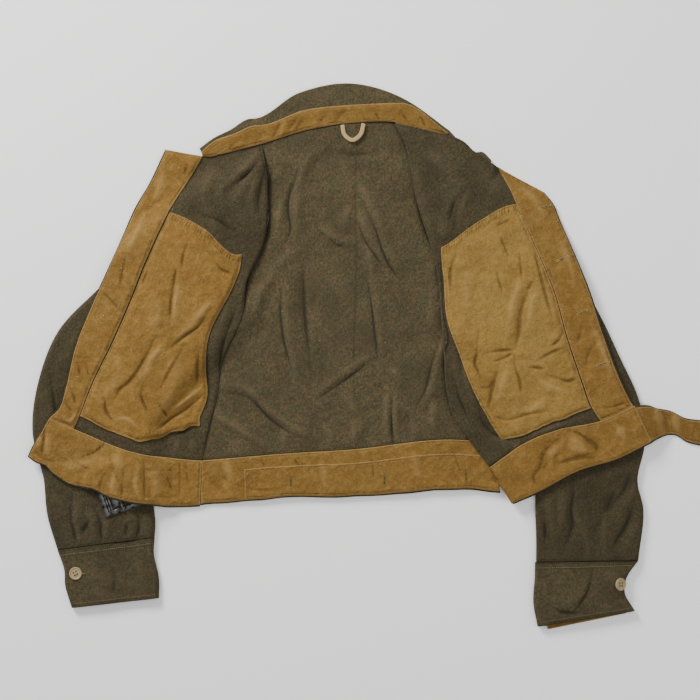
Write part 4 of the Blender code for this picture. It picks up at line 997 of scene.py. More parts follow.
def turned_under(points, curls, returns, levels):
    """Points of a sheet whose first column is a fold, with the cloth turned under beyond it."""
    edge, top = points[:, 0, :2], points[:, 0, 2]
    inward = points[:, 2 * FINE, :2] - edge
    inward /= np.linalg.norm(inward, axis=1, keepdims=True)
    columns = []
    for share in TURNED_SHARES:
        height = levels * share + (top - 2 * curls) * (1 - share)
        columns.append(np.column_stack([edge + inward * returns[:, None] * share, height]))
    for angle in CURL_ANGLES:
        turn = math.radians(angle)
        reach = curls * math.sin(turn)
        drop = curls * (1 - math.cos(turn))
        columns.append(np.column_stack([edge - inward * reach[:, None], top - drop]))
    return np.concatenate([np.array(columns).swapaxes(0, 1), points], axis=1)


TURNED_COLUMNS = len(TURNED_SHARES) + len(CURL_ANGLES)


def fold_zone(plan, lifts):
    """How high the cloth lies beside its fold, by its distance from the first column."""
    away = np.linalg.norm(plan - plan[:, :1], axis=-1)
    return lifts[:, None] * ease(1 - (away - FOLD_FLAT) / FOLD_SPREAD)


def left_sheet(plan, lifts, curls, levels, creases):
    """A sheet of the left front or its waistband, folded back on itself along its first column."""
    under = higher(fold_zone(plan, lifts), left_lift(plan))
    flat = settled(plan, under, creases)
    points = turned_under(flat.points, curls, np.full(len(plan), FOLD_RETURN), levels)
    return Sheet(points, relief=np.pad(flat.relief, ((0, 0), (TURNED_COLUMNS, 0))))


def right_front_sheet():
    rows = [(r.edge, towards(r.edge, r.facing, EDGE_SHOWS), *r[2:]) for r in RIGHT_FRONT]
    plan = grid(rows, finer(RIGHT_FRONT_STEPS), finer(RIGHT_FRONT_COLUMNS))
    return settled(plan, right_lift(plan), RIGHT_FRONT_CREASES)


def left_front_sheet():
    rows = [(*r[1:5], towards(r.edge, r.facing, EDGE_SHOWS), r.edge) for r in LEFT_FRONT]
    plan = grid(rows, finer(LEFT_FRONT_STEPS), finer(LEFT_FRONT_COLUMNS))
    heights = smooth([[r.lift, r.curl, r.turned] for r in LEFT_FRONT], finer(LEFT_FRONT_STEPS))
    return left_sheet(plan, *heights.T, LEFT_FRONT_CREASES)


def back_sheet():
    rows = [((row.seam[0] + SEAM, row.seam[1]), *row[2:]) for row in BACK]
    plan = grid(rows, finer(BACK_STEPS), finer(BACK_COLUMNS, BACK_FINE))
    low = (*ARMHOLE_ROWS, "neck")
    joined = smooth([[float(row.name not in low)] for row in BACK], finer(BACK_STEPS))
    return settled(plan, right_lift(plan) * joined, BACK_CREASES)


def over(sheet, thickness, bulge=0.0, relief=None):
    """A sheet for cloth of that thickness lying on another sheet's wool."""
    return sheet.raised(WOOL / 2 + LAYER + thickness / 2 + bulge, relief)


def columns_of(counts, first, last, offset=0):
    """The grid columns between two columns of a table."""
    return np.s_[offset + sum(counts[:first]) * FINE : offset + sum(counts[:last]) * FINE + 1]


def rows_between(table, steps, first, last):
    """The grid rows between two named rows of a table."""
    names = [row.name for row in table]
    return np.s_[sum(steps[: names.index(first)]) * FINE : sum(steps[: names.index(last)]) * FINE + 1]


def pocket_sheet(front, rows, columns, beside_facing, gaps, creases, nudges, seed):
    """A pocket bag's sheet on the front's own points, fullest in its middle."""
    under = front.part(rows, columns)
    points = under.points.copy()
    edge, within = (0, 1) if beside_facing == "first" else (-1, -2)
    inward = points[:, within] - points[:, edge]
    gap = np.linspace(*gaps, len(points))[:, None]
    points[:, edge] += inward / np.linalg.norm(inward, axis=1, keepdims=True) * gap
    points[..., :2] = nudged(points[..., :2], nudges)
    closer = denser(Sheet(points, under.out), POCKET_FINER)
    points, out = closer.points, closer.out
    down, across = (np.linspace(0, 1, n) for n in points.shape[:2])
    bulge = np.outer(np.sin(np.pi * down * 0.86), np.sin(np.pi * across) ** 0.7) * POCKET_BULGE
    extra, relief = wrinkled(points, creases, seed, rise=2.0, reach=8.0)
    return over(Sheet(points, out), DRILL, bulge + extra, relief)


def band_plan(panel_edge, hem):
    """Plan points of a waistband from just below its panel's last row down to its own lower edge."""
    down = hem - panel_edge
    start = panel_edge + down / np.linalg.norm(down, axis=1, keepdims=True) * SEAM
    levels = smooth(np.array(BAND_LEVELS)[:, None], BAND_STEPS)[:, 0]
    return np.array([start + (hem - start) * level for level in levels])


def hem_points(hem, counts, inset_first=False, inset_last=False, times=FINE):
    """The waistband's lower edge, with a point under each column of its panel."""
    ends = [tuple(p) for p in hem]
    if inset_first:
        ends.insert(1, towards(hem[0], hem[1], EDGE_SHOWS))
    if inset_last:
        ends.insert(-1, towards(hem[-1], hem[-2], EDGE_SHOWS))
    return smooth(ends, finer(counts, times))


SHEETS = {}
STUFF = {}


def keep(piece):
    return piece


def cloth_piece(node, sheet, thickness, material, sewn="lrtb"):
    """The cloth that replaces one frame node."""
    slot = "drill" if thickness == DRILL else "serge"
    piece = shell(f"{node}_cloth", sheet, thickness, STUFF[material], slot, sewn)
    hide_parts(node)
    SHEETS[node] = sheet
    return keep(piece)


def make_fronts():
    right, left = right_front_sheet(), left_front_sheet()
    cloth_piece("right_front", right, WOOL, "front serge")
    cloth_piece("left_front", left, WOOL, "front serge", "rtb")


def make_back():
    cloth_piece("back", back_sheet(), WOOL, "serge", "ltb")


def make_facings():
    right = SHEETS["right_front"].part(np.s_[:], columns_of(RIGHT_FRONT_COLUMNS, 1, 2))
    left = SHEETS["left_front"].part(np.s_[:], columns_of(LEFT_FRONT_COLUMNS, 3, 4, TURNED_COLUMNS))
    for node, part, creases in (
        ("right_facing", right, RIGHT_FACING_CREASES), ("left_facing", left, LEFT_FACING_CREASES)
    ):
        sheet = over(part, DRILL, *wrinkled(part.points, creases, 43))
        cloth_piece(node, sheet, DRILL, "drill")


def make_pockets():
    rows = rows_between(RIGHT_FRONT, RIGHT_FRONT_STEPS, "mouth", "hem")
    columns = columns_of(RIGHT_FRONT_COLUMNS, 2, 4)
    bag = pocket_sheet(
        SHEETS["right_front"], rows, columns, "first", RIGHT_POCKET_GAPS, RIGHT_POCKET_CREASES,
        RIGHT_POCKET_NUDGES, 5,
    )
    cloth_piece("right_pocket", bag, DRILL, "pocket")
    rows = rows_between(LEFT_FRONT, LEFT_FRONT_STEPS, "mouth", "hem")
    columns = columns_of(LEFT_FRONT_COLUMNS, 1, 3, TURNED_COLUMNS)
    bag = pocket_sheet(
        SHEETS["left_front"], rows, columns, "last", LEFT_POCKET_GAPS, LEFT_POCKET_CREASES,
        LEFT_POCKET_NUDGES, 8,
    )
    cloth_piece("left_pocket", bag, DRILL, "left pocket")


def lined(band):
    """The drill lining of a stretch of waistband, a little wrinkled."""
    band = denser(band, LINING_FINER)
    bulge, relief = wrinkled(band.points, BAND_LINING_CREASES, 47, 0.9, 5.0)
    return over(band, DRILL, bulge, np.clip(relief + band.relief * 0.8, -1, 1))


def make_waistbands():
    edge = SHEETS["right_front"].points[-1, :, :2]
    plan = band_plan(edge, hem_points(RIGHT_BAND_HEM, RIGHT_FRONT_COLUMNS, True))
    plan = nudged(plan, RIGHT_BAND_NUDGES)
    sheet = settled(plan, right_lift(plan), BAND_CREASES)
    cloth_piece("right_waistband", sheet, WOOL, "serge")
    lining = lined(sheet.part(np.s_[:-1], np.s_[FINE:]))
    cloth_piece("right_waistband_lining", lining, DRILL, "drill")

    plan = band_plan(
        SHEETS["back"].points[-1, :, :2], hem_points(BACK_BAND_HEM, BACK_COLUMNS, times=BACK_FINE)
    )
    plan[:, 0, 0] += SEAM
    plan = nudged(plan, BACK_BAND_NUDGES)
    sheet = settled(plan, right_lift(plan), BAND_CREASES)
    cloth_piece("back_waistband", sheet, WOOL, "serge")
    lining = lined(sheet.part(np.s_[:-1], np.s_[:]))
    cloth_piece("back_waistband_lining", lining, DRILL, "drill")
    first_row, first_column = 4 * LINING_FINER, STRIP_FIRST_COLUMN * BACK_FINE * LINING_FINER
    strip = lining.part(np.s_[first_row:], np.s_[first_column:]).raised(DRILL + LAYER)
    cloth_piece("buttonhole_strip", strip, DRILL, "drill")

    flat = SHEETS["left_front"].points[:, TURNED_COLUMNS:]
    plan = band_plan(flat[-1, :, :2], hem_points(LEFT_BAND_HEM, LEFT_FRONT_COLUMNS, False, True))
    last = LEFT_FRONT[-1]
    heights = np.tile([last.lift, last.curl, last.turned], (len(plan), 1))
    sheet = left_sheet(plan, *heights.T, BAND_CREASES)
    cloth_piece("left_waistband", sheet, WOOL, "front serge", "rtb")
    lining = lined(sheet.part(np.s_[:-1], np.s_[len(TURNED_SHARES) + CURL_ANGLES.index(90) :]))
    cloth_piece("left_waistband_lining", lining, DRILL, "drill")


def make_collar():
    skip = (1 + RIGHT_FRONT_COLUMNS[1]) * FINE
    stretches = [
        SHEETS["right_front"].points[0, skip:],
        SHEETS["back"].points[0, : sum(BACK_COLUMNS[:3]) * BACK_FINE + 1],
        SHEETS["left_front"].points[0, TURNED_COLUMNS : TURNED_COLUMNS + LEFT_FRONT_COLUMNS[0] * FINE + 1],
    ]
    neck = np.vstack(stretches)
    counts = (
        *finer(RIGHT_FRONT_COLUMNS[2:]), 1, *finer(BACK_COLUMNS[:3], BACK_FINE), 1,
        *finer(LEFT_FRONT_COLUMNS[:1])
    )
    table = [(c.band, c.edge) for c in COLLAR]
    shoulder = [column.name for column in COLLAR].index("shoulder")
    table.insert(shoulder + 1, tuple((x + 1.5, y) for x, y in table[shoulder]))
    upper = smooth(table, counts)
    out = upper[:, 0] - neck[:, :2]
    start = neck[:, :2] + out / np.linalg.norm(out, axis=1, keepdims=True) * COLLAR_SEAM
    level = neck[:, 2] - WOOL / 2
    level[-1] = 0
    for _ in range(SMOOTHINGS):
        level[1:-1] = (level[:-2] + 2 * level[1:-1] + level[2:]) / 4
    knots = np.array([start, upper[:, 0], upper[:, 1]])
    up_band, up_fall = np.linspace(0, 1, COLLAR_BAND_STEPS)[:-1], np.linspace(0, 1, COLLAR_FALL_STEPS)
    plan = np.concatenate([
        knots[0] + (knots[1] - knots[0]) * up_band[:, None, None],
        knots[1] + (knots[2] - knots[1]) * up_fall[:, None, None],
    ])
    shares = np.concatenate([up_band / 2, 0.5 + up_fall / 2])
    ends = smooth([(c.inner, c.outer) for c in COLLAR_END], finer((1, 1, 1)))
    tucked = [ends[:, 0] + (ends[:, 1] - ends[:, 0]) * s for s in shares]
    bridge = [smooth([row[-1], end[0]], (FINE,))[1:-1] for row, end in zip(plan, tucked)]
    whole = np.concatenate([plan, bridge, tucked], axis=1)
    rise = 2 * COLLAR_CURL * ease(shares * 2)
    hidden = whole.shape[1] - len(level)
    under = np.concatenate([level, np.zeros(hidden)]) + rise[:, None]
    soft = np.outer(np.sin(np.pi * shares * 0.9), np.concatenate([np.ones(len(level)), np.zeros(hidden)]))
    height, _ = creased(COLLAR_CREASES, whole)
    under += soft * (height + 0.6 * noise_lattice(whole, 30, 61))
    flat = laid(whole, np.maximum(under, 0), WOOL).points
    from_fold = flat[::-1].swapaxes(0, 1)
    reach = np.linalg.norm(whole[-1] - whole[COLLAR_BAND_STEPS - 1], axis=1) * COLLAR_RETURN
    curls = np.full(len(from_fold), COLLAR_CURL)
    sheet = Sheet(turned_under(from_fold, curls, reach, np.full(len(from_fold), WOOL / 2)))
    cloth_piece("collar", sheet, WOOL, "collar serge", "lr")
    band = sheet.part(np.s_[: len(neck)], np.s_[-COLLAR_BAND_STEPS:])
    lining = over(band, DRILL, *wrinkled(band.points, NECK_CREASES, 67, 0.8, 3.5))
    cloth_piece("collar_band", lining, DRILL, "drill")


UNDER_STEPS = 12
OVER_STEPS = 52
TUBE_TURNS = [math.radians(angle) for angle in range(-75, 76, 15)]
TUBE_TOP = np.s_[:, UNDER_STEPS + len(TUBE_TURNS) : UNDER_STEPS + len(TUBE_TURNS) + OVER_STEPS]


def ring(outer, inner, height, inset, creases, seed):
    """One loop round a flattened tube, inset from its outside by that much."""
    outer, inner = np.array(outer), np.array(inner)
    half = np.linalg.norm(outer - inner) / 2
    radius = height / 2
    flat, corner = half - radius, radius - inset
    steps = [(-s * flat, inset, 0.0) for s in np.linspace(1, -1, UNDER_STEPS)]
    steps += [(flat + corner * math.cos(a), radius + corner * math.sin(a), 0.0) for a in TUBE_TURNS]
    steps += [(s * flat, height - inset, math.cos(s * 1.3) ** 0.5) for s in np.linspace(1, -1, OVER_STEPS)]
    steps += [(-flat - corner * math.cos(a), radius + corner * math.sin(a), 0.0) for a in TUBE_TURNS[::-1]]
    away, level, on_top = np.array(steps).T
    across = (outer - inner) / (2 * half)
    plan = (outer + inner) / 2 + away[:, None] * across
    soft = 1.6 + uneven_by(plan, SLEEVE_LUMPS, seed, 0)
    height, relief = creased(creases, plan)
    top = np.maximum(height + soft, 0) * on_top
    return np.column_stack([plan, level + top, relief * (on_top > 0)])


def make_tube(node, sections, steps, creases, seed, material):
    """A flattened tube of serge through its sections, open at both ends."""
    rows = [[(*s.outer, s.height), (*s.inner, 0.0)] for s in sections]
    line = smooth(rows, [steps] * (len(sections) - 1))
    loops = {
        inset: np.array([ring(row[0][:2], row[1][:2], row[0][2], inset, creases, seed) for row in line])
        for inset in (0.0, WOOL)
    }
    outside, relief, inside = loops[0.0][..., :3], loops[0.0][..., 3], loops[WOOL][..., :3]
    around = outside.shape[1]
    index = np.arange(len(line) * around).reshape(len(line), around)
    index = np.column_stack([index, index[:, :1]])
    within = index + len(line) * around
    faces = quads(index) + quads(within[:, ::-1])
    faces += quads(np.array([within[0], index[0]])) + quads(np.array([index[-1], within[-1]]))
    across, down = arc_lengths(outside)
    uv = np.dstack([across, -down]).reshape(-1, 2)
    rim = np.minimum(down, down[-1:] - down).ravel()
    points = np.vstack([outside.reshape(-1, 3), inside.reshape(-1, 3)])
    values = {"rim": np.tile(rim, 2), "relief": np.tile(relief.ravel(), 2)}
    piece = mesh_object(
        f"{node}_cloth", points, faces, STUFF[material], "serge", np.vstack([uv, uv]), **values
    )
    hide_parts(node)
    top = Sheet(outside[TUBE_TOP])
    SHEETS[node] = Sheet(top.points, top.out * np.sign(top.out[..., 2].mean()))
    return keep(piece)


def make_sleeves():
    make_tube("right_sleeve", RIGHT_SLEEVE, 26, RIGHT_SLEEVE_CREASES, 71, "sleeve serge")
    make_tube("left_sleeve", LEFT_SLEEVE, 26, LEFT_SLEEVE_CREASES, 83, "sleeve serge")
    make_tube("right_cuff", RIGHT_CUFF, 18, CUFF_CREASES, 95, "cuff serge")
    make_tube("left_cuff", LEFT_CUFF, 18, CUFF_CREASES, 97, "cuff serge")
    middle, edge = LEFT_CUFF[-2], LEFT_CUFF[-1]
    sides = []
    for near, far, inwards in ((edge.outer, middle.outer, -1), (edge.inner, middle.inner, 1)):
        near, far = ((p[0] + inwards * LINING_INSET, p[1]) for p in (near, far))
        sides.append((towards(near, far, -LINING_PAST_CUFF), towards(near, far, LINING_INTO_CUFF)))
    plan = grid(np.array(sides).swapaxes(0, 1), (12,), (40,))
    wave = 0.25 * (1 + noise_lattice(plan, 14, 99))
    cloth_piece("left_cuff_lining", laid(plan, WOOL + LAYER + wave, DRILL), DRILL, "drill")


def make_strap():
    ends = smooth([(c.top, c.bottom) for c in STRAP], finer(STRAP_STEPS))
    levels = np.concatenate([[0, 0.05], np.linspace(0.1, 0.9, 11), [0.95, 1]])
    plan = np.array([ends[:, 0] + (ends[:, 1] - ends[:, 0]) * level for level in levels])
    wave = 0.5 * (1 + noise_lattice(plan, 26, 41))
    creases = [
        Crease("buckled", ((356, -72), (362, -92), (368, -114)), 2.6, 6),
        Crease("buckled_second", ((384, -76), (386, -94), (390, -112)), 1.8, 5),
    ]
    height, relief = creased(creases, plan)
    under = left_lift(plan) + wave + np.maximum(height, 0)
    sheet = Sheet(laid(plan, under, WOOL).points, relief=relief)
    cloth_piece("waist_strap", sheet, WOOL, "serge")
    cloth_piece(
        "waist_strap_lining", over(sheet.part(np.s_[1:-1], np.s_[:-FINE]), DRILL), DRILL,
        "strap drill",
    )


def make_loop():
    path = smooth(LOOP_PATH, (8, 8, 8, 8))
    along = np.gradient(path, axis=0)
    along /= np.linalg.norm(along, axis=1, keepdims=True)
    side = np.column_stack([along[:, 1], -along[:, 0]]) * LOOP_WIDTH / 2
    plan = np.array([path + side * s for s in (-1, -0.5, 0, 0.5, 1)])
    height = settled(plan, 0, BACK_CREASES).points[..., 2].max() + WOOL / 2 + LAYER
    rise = 0.5 * np.sin(np.linspace(0, np.pi, plan.shape[1]))
    piece = shell(
        "hanger_loop_tape", laid(plan, np.full(plan.shape[:2], height) + rise, TAPE), TAPE,
        STUFF["tape"], "tape", "tb",
    )
    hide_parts("hanger_loop")
    keep(piece)


def row_of_stitches(thread, node, side, inset, first=0.0, last=1.0, **how):
    """Stitches along one side of a made piece, on its upper face."""
    line, up = along_side(SHEETS[node], side, inset, first, last)
    thick = WOOL if node in WOOLLEN else DRILL
    thread.run(line, up, thick / 2 + 0.08, **how)


def on_top(node, path, steps=8):
    """A drawn plan path laid on a piece's upper face, with the way up along it."""
    path = np.array(path, float)
    if len(path) > 2:
        line = smooth(path, [steps] * (len(path) - 1))
    else:
        line = np.linspace(path[0], path[1], steps + 1)
    sheet = SHEETS[node]
    points, out = sheet.points.reshape(-1, 3), sheet.out.reshape(-1, 3)
    facing_up = out[:, 2] > 0.3
    points, out = points[facing_up], out[facing_up]
    near = np.array([np.linalg.norm(points[:, :2] - p, axis=1).argmin() for p in line])
    thick = WOOL if node in WOOLLEN else DRILL
    height = np.convolve(np.pad(points[near, 2], 1, mode="edge"), (0.25, 0.5, 0.25), "valid")
    up = out[near]
    return np.column_stack([line, height + thick / 2 + 0.1]), up


def cross_stitch(thread, node, x, y, size=3.2, turn=0.6):
    """Crossed threads that hold a button on the far side."""
    (centre,), (up,) = (part[:1] for part in on_top(node, ((x, y), (x + 1, y)), 2))
    for angle in (turn, turn + 1.7):
        for shift in (-0.35, 0.35):
            along = np.array([math.cos(angle), math.sin(angle), 0]) * size / 2
            off = np.array([-math.sin(angle), math.cos(angle), 0]) * shift
            thread.stitch(centre - along + off, centre + along + off, up, 0.55, 0.5)


def buttonhole(edging, slit, node, start, end, width=1.7):
    """A slit with close stitches over both its edges and a bar at each end."""
    line, up = on_top(node, (start, end), 12)
    length = np.linalg.norm(line[-1] - line[0])
    along = (line[-1] - line[0]) / length
    side = np.cross(up[0], along)
    # A strip along the slit; with the slit shade material it is painted shade in the cut
    slit.run(line, up, 0.2, pitch=length / 3, share=0.98, width=1.5, height=0.45)
    for reach in np.arange(0.3, length, 0.55):
        at = np.array([np.interp(reach, np.linspace(0, length, len(line)), line[:, k]) for k in range(3)])
        for way in (-1, 1):
            edging.stitch(at + side * way * 0.5, at + side * way * width, up[0], 0.5, 0.4)
    for end_point in (line[0], line[-1]):
        for shift in (-0.3, 0.3):
            edging.stitch(
                end_point + along * shift - side * width, end_point + along * shift + side * width,
                up[0], 0.5, 0.5,
            )


HEM = 11.0
StitchRow = namedtuple("StitchRow", "node sides inset")
BROWN_ROWS = (
    StitchRow("right_facing", "lr", 2.6),
    StitchRow("left_facing", "lr", 2.6),
    StitchRow("right_pocket", "lrb", 2.6),
    StitchRow("left_pocket", "lrb", 2.6),
    StitchRow("right_pocket", "t", 2.2),
    StitchRow("right_pocket", "t", HEM),
    StitchRow("left_pocket", "t", 2.2),
    StitchRow("left_pocket", "t", HEM),
    StitchRow("right_waistband_lining", "t", 2.4),
    StitchRow("right_waistband_lining", "b", 2.6),
    StitchRow("back_waistband_lining", "t", 2.4),
    StitchRow("back_waistband_lining", "b", 2.6),
    StitchRow("left_waistband_lining", "t", 2.4),
    StitchRow("left_waistband_lining", "b", 2.6),
    StitchRow("buttonhole_strip", "tl", 1.8),
    StitchRow("buttonhole_strip", "b", 2.0),
    StitchRow("collar_band", "lr", 1.8),
    StitchRow("waist_strap_lining", "tb", 2.0),
)


def make_sewing():
    """Rows of stitches, buttonholes and the threads of buttons on the far side."""
    brown, pale, green, slit = Thread(), Thread(), Thread(), Thread()
    for row in BROWN_ROWS:
        for side in row.sides:
            row_of_stitches(brown, row.node, side, row.inset)
    for path in RIGHT_BAND_SEAMS:
        line, up = on_top("right_waistband_lining", path)
        brown.run(line, up, 0.02)
    for path in LEFT_STRIP_SEAMS:
        line, up = on_top("left_pocket", path)
        brown.run(line, up, 0.02)
    for path in CROSSES:
        cross_stitch(pale, "right_facing", *path)
    for start, end in LEFT_BUTTONHOLES:
        buttonhole(pale, slit, "left_facing", start, end, 1.6)
    for start, end in STRIP_BUTTONHOLES:
        buttonhole(green, slit, "buttonhole_strip", start, end, 1.3)
    for start, end in LOOSE_STITCHES:
        (centre, far), (up, _) = on_top("left_facing", (start, end), 1)
        pale.stitch(centre, far, up, 0.6, 0.5)
    keep(brown.made("brown_stitching", STUFF["thread"]))
    keep(pale.made("pale_stitching", STUFF["pale_thread"]))
    keep(green.made("green_stitching", STUFF["green_thread"]))
    # The buttonhole slits are a near-black strip of painted shade in each cut
    keep(slit.made("buttonhole_slits", STUFF["slit_shade"]))

    serge = Thread()
    row_of_stitches(serge, "right_cuff", "t", 7.5, width=1.1, height=0.5)
    row_of_stitches(serge, "left_cuff", "t", 7.5, width=1.1, height=0.5)
    buttonhole(serge, serge, "right_cuff", (-443.4, -303.2), (-440.4, -303.6), 1.2)
    row_of_stitches(serge, "right_cuff", "b", 6.0)
    row_of_stitches(serge, "left_cuff", "b", 6.0)
    keep(serge.made("serge_stitching", STUFF["serge_thread"]))


MILLIMETRES = 1000.0


def feed(tree, socket, value):
    """Link an input to a socket, or set it to a value."""
    if isinstance(value, bpy.types.NodeSocket):
        tree.links.new(value, socket)
    else:
        socket.default_value = value


def wire(tree, kind, settings=(), **values):
    """A shader node with its settings, and its inputs set or linked by name or by number."""
    made = tree.nodes.new(kind)
    for key, value in dict(settings).items():
        setattr(made, key, value)
    for key, value in values.items():
        socket = made.inputs[int(key[2:])] if key.startswith("in") and key[2:].isdigit() else made.inputs[key]
        feed(tree, socket, value)
    return made


def calc(tree, operation, a, b=0.0, clamp=False):
    """The value of one sum."""
    settings = {"operation": operation, "use_clamp": clamp}
    return wire(tree, "ShaderNodeMath", settings, in0=a, in1=b).outputs[0]


def blend(tree, factor, a, b, how="MIX"):
    """Two colours mixed."""
    settings = {"data_type": "RGBA", "blend_type": how, "clamp_factor": True}
    made = wire(tree, "ShaderNodeMix", settings)
    for index, value in ((0, factor), (6, a), (7, b)):
        feed(tree, made.inputs[index], value)
    return made.outputs[2]


def scaled(tree, vector, scale):
    """A vector times a vector or a number."""
    scale = scale if hasattr(scale, "__len__") else (scale,) * 3
    return wire(tree, "ShaderNodeVectorMath", {"operation": "MULTIPLY"}, in0=vector, in1=scale).outputs[0]


def in_space(tree):
    """The place of a point on the object, in millimetres."""
    return scaled(tree, wire(tree, "ShaderNodeTexCoord").outputs["Object"], MILLIMETRES)


def on_cloth(tree):
    """The place of a point on its flat cloth, in millimetres."""
    return scaled(tree, wire(tree, "ShaderNodeUVMap", {"uv_map": "cloth"}).outputs[0], MILLIMETRES)


def lumps(tree, where, scale, **values):
    """Noise with that many lumps to a millimetre."""
    return wire(tree, "ShaderNodeTexNoise", Vector=where, Scale=scale, **values).outputs[0]


def between(tree, value, low, high, start=0.0, end=1.0):
    """A number that goes from start to end as a value goes from low to high."""
    return wire(tree, "ShaderNodeMapRange", in0=value, in1=low, in2=high, in3=start, in4=end).outputs[0]


def mottled(tree, effects, where, size, middle, spread):
    """The mask of the mottle effect."""
    return placed(tree, effects["mottle"], Vector=where, Size=size, Middle=middle, Spread=spread).outputs[0]


def set_inputs(shader, **values):
    """Set a shader's inputs, with an underscore for each space in a name."""
    for name, value in values.items():
        shader.inputs[name.replace("_", " ")].default_value = value


def tinted(tree, base, colour, mask, most):
    """The base with a colour over it where the mask is, by that much at most."""
    return blend(tree, calc(tree, "MULTIPLY", mask, most), base, colour)


def layer(tree, base, colour, value, low, high, most):
    """The base with a colour over it as a value goes from low to high, by that much at most."""
    mask = between(tree, value, low, high, 0.0, most)
    return blend(tree, mask, base, colour)


def effect(name, inputs, outputs):
    """An empty shader node group with named sockets, and its inner inputs and outputs."""
    tree = bpy.data.node_groups.new(name, "ShaderNodeTree")
    for label, kind, default in inputs:
        socket = tree.interface.new_socket(label, in_out="INPUT", socket_type=kind)
        if default is not None:
            socket.default_value = default
    for label, kind in outputs:
        tree.interface.new_socket(label, in_out="OUTPUT", socket_type=kind)
    return tree, tree.nodes.new("NodeGroupInput"), tree.nodes.new("NodeGroupOutput")


def placed(tree, group, **values):
    """An effect placed in a material with its own values."""
    made = tree.nodes.new("ShaderNodeGroup")
    made.node_tree = group
    for key, value in values.items():
        socket = made.inputs[key.replace("_", " ")]
        feed(tree, socket, value)
    return made


FLOAT, VECTOR = "NodeSocketFloat", "NodeSocketVector"


def weave_effect():
    """Slanting twill ribs with threads across them. Vector and Pitch are in millimetres."""
    tree, given, result = effect(
        "Twill weave",
        [("Vector", VECTOR, None), ("Pitch", FLOAT, 1.0)],
        [("Height", FLOAT), ("Thread", FLOAT)],
    )
    wander = wire(tree, "ShaderNodeTexNoise", Vector=given.outputs[0], Scale=0.35, Detail=2.0)
    off = scaled(tree, wander.outputs["Color"], 0.55)
    moved = wire(tree, "ShaderNodeVectorMath", {"operation": "ADD"}, in0=given.outputs[0], in1=off)
    parts = wire(tree, "ShaderNodeSeparateXYZ", Vector=moved.outputs[0])
    turns = calc(tree, "DIVIDE", math.tau, given.outputs[1])
    rib = calc(
        tree, "SINE",
        calc(tree, "MULTIPLY", calc(tree, "ADD", parts.outputs[0], parts.outputs[1]), turns),
    )
    across = calc(tree, "SUBTRACT", parts.outputs[0], parts.outputs[1])
    thread = calc(tree, "SINE", calc(tree, "MULTIPLY", calc(tree, "MULTIPLY", across, 1.6), turns))
    both = calc(tree, "ADD", calc(tree, "MULTIPLY", rib, 0.34), calc(tree, "MULTIPLY", thread, 0.16))
    tree.links.new(calc(tree, "ADD", both, 0.5), result.inputs["Height"])
    tree.links.new(calc(tree, "ADD", calc(tree, "MULTIPLY", thread, 0.5), 0.5), result.inputs["Thread"])
    return tree


def mottle_effect():
    """Uneven colour in patches of one size. Spread makes the patches softer."""
    tree, given, result = effect(
        "Cloth mottle",
        [("Vector", VECTOR, None), ("Size", FLOAT, 40.0), ("Middle", FLOAT, 0.5), ("Spread", FLOAT, 0.2)],
        [("Mask", FLOAT)],
    )
    scale = calc(tree, "DIVIDE", 1.0, given.outputs[1])
    noise = lumps(tree, given.outputs[0], scale, Detail=4.0, Roughness=0.6)
    low = calc(tree, "SUBTRACT", given.outputs[2], given.outputs[3])
    high = calc(tree, "ADD", given.outputs[2], given.outputs[3])
    mask = wire(
        tree, "ShaderNodeMapRange", {"interpolation_type": "SMOOTHSTEP"}, in0=noise,
        in1=low, in2=high,
    )
    tree.links.new(mask.outputs[0], result.inputs[0])
    return tree


def seam_effect():
    """The sunk line of a seam at Inset millimetres from a sewn edge, and the puckers beside it. Line masks
    painted shade in the sunk line; Edge falls off from the sewn edge and masks painted shade on wool and wear
    with a painted highlight on drill.
    """
    tree, given, result = effect(
        "Seam pucker",
        [("Vector", VECTOR, None), ("Rim", FLOAT, 99.0), ("Inset", FLOAT, 2.5)],
        [("Height", FLOAT), ("Line", FLOAT), ("Edge", FLOAT)],
    )
    away = calc(tree, "DIVIDE", calc(tree, "SUBTRACT", given.outputs[1], given.outputs[2]), 1.1)
    line = calc(tree, "EXPONENT", calc(tree, "MULTIPLY", calc(tree, "MULTIPLY", away, away), -1.0))
    fall = calc(tree, "EXPONENT", calc(tree, "DIVIDE", given.outputs[1], -6.0))
    noise = lumps(tree, given.outputs[0], 0.22, Detail=2.0)
    pucker = calc(tree, "MULTIPLY", calc(tree, "MULTIPLY", noise, fall), 1.6)
    edge = calc(tree, "EXPONENT", calc(tree, "DIVIDE", given.outputs[1], -0.9))
    here = lumps(tree, given.outputs[0], 0.045, Detail=3.0)
    come_and_go = between(tree, here, 0.38, 0.6)
    line = calc(tree, "MULTIPLY", line, come_and_go)
    tree.links.new(calc(tree, "SUBTRACT", pucker, calc(tree, "MULTIPLY", line, 0.7)), result.inputs["Height"])
    tree.links.new(line, result.inputs["Line"])
    tree.links.new(edge, result.inputs["Edge"])
    return tree


def new_material(name):
    material = bpy.data.materials.new(name)
    material.use_nodes = True
    tree = material.node_tree
    return material, tree, tree.nodes["Principled BSDF"]


def bumped(tree, shader, heights):
    """Bumps one on another, each (height, strength, distance in metres), into the shader's normal."""
    normal = None
    for height, strength, distance in heights:
        bump = wire(tree, "ShaderNodeBump", Height=height, Strength=strength, Distance=distance)
        if normal is not None:
            tree.links.new(normal, bump.inputs["Normal"])
        normal = bump.outputs[0]
    tree.links.new(normal, shader.inputs["Normal"])


def reliefs(tree, rise):
    """How far a point lies in a hollow of the cloth, and how far it stands out, from 0 to 1: masks for
    painted shade and painted highlight.
    """
    relief = wire(tree, "ShaderNodeAttribute", {"attribute_name": "relief"}).outputs["Fac"]
    hollow = between(tree, relief, -0.04, -rise)
    crest = between(tree, relief, 0.04, rise)
    return hollow, crest


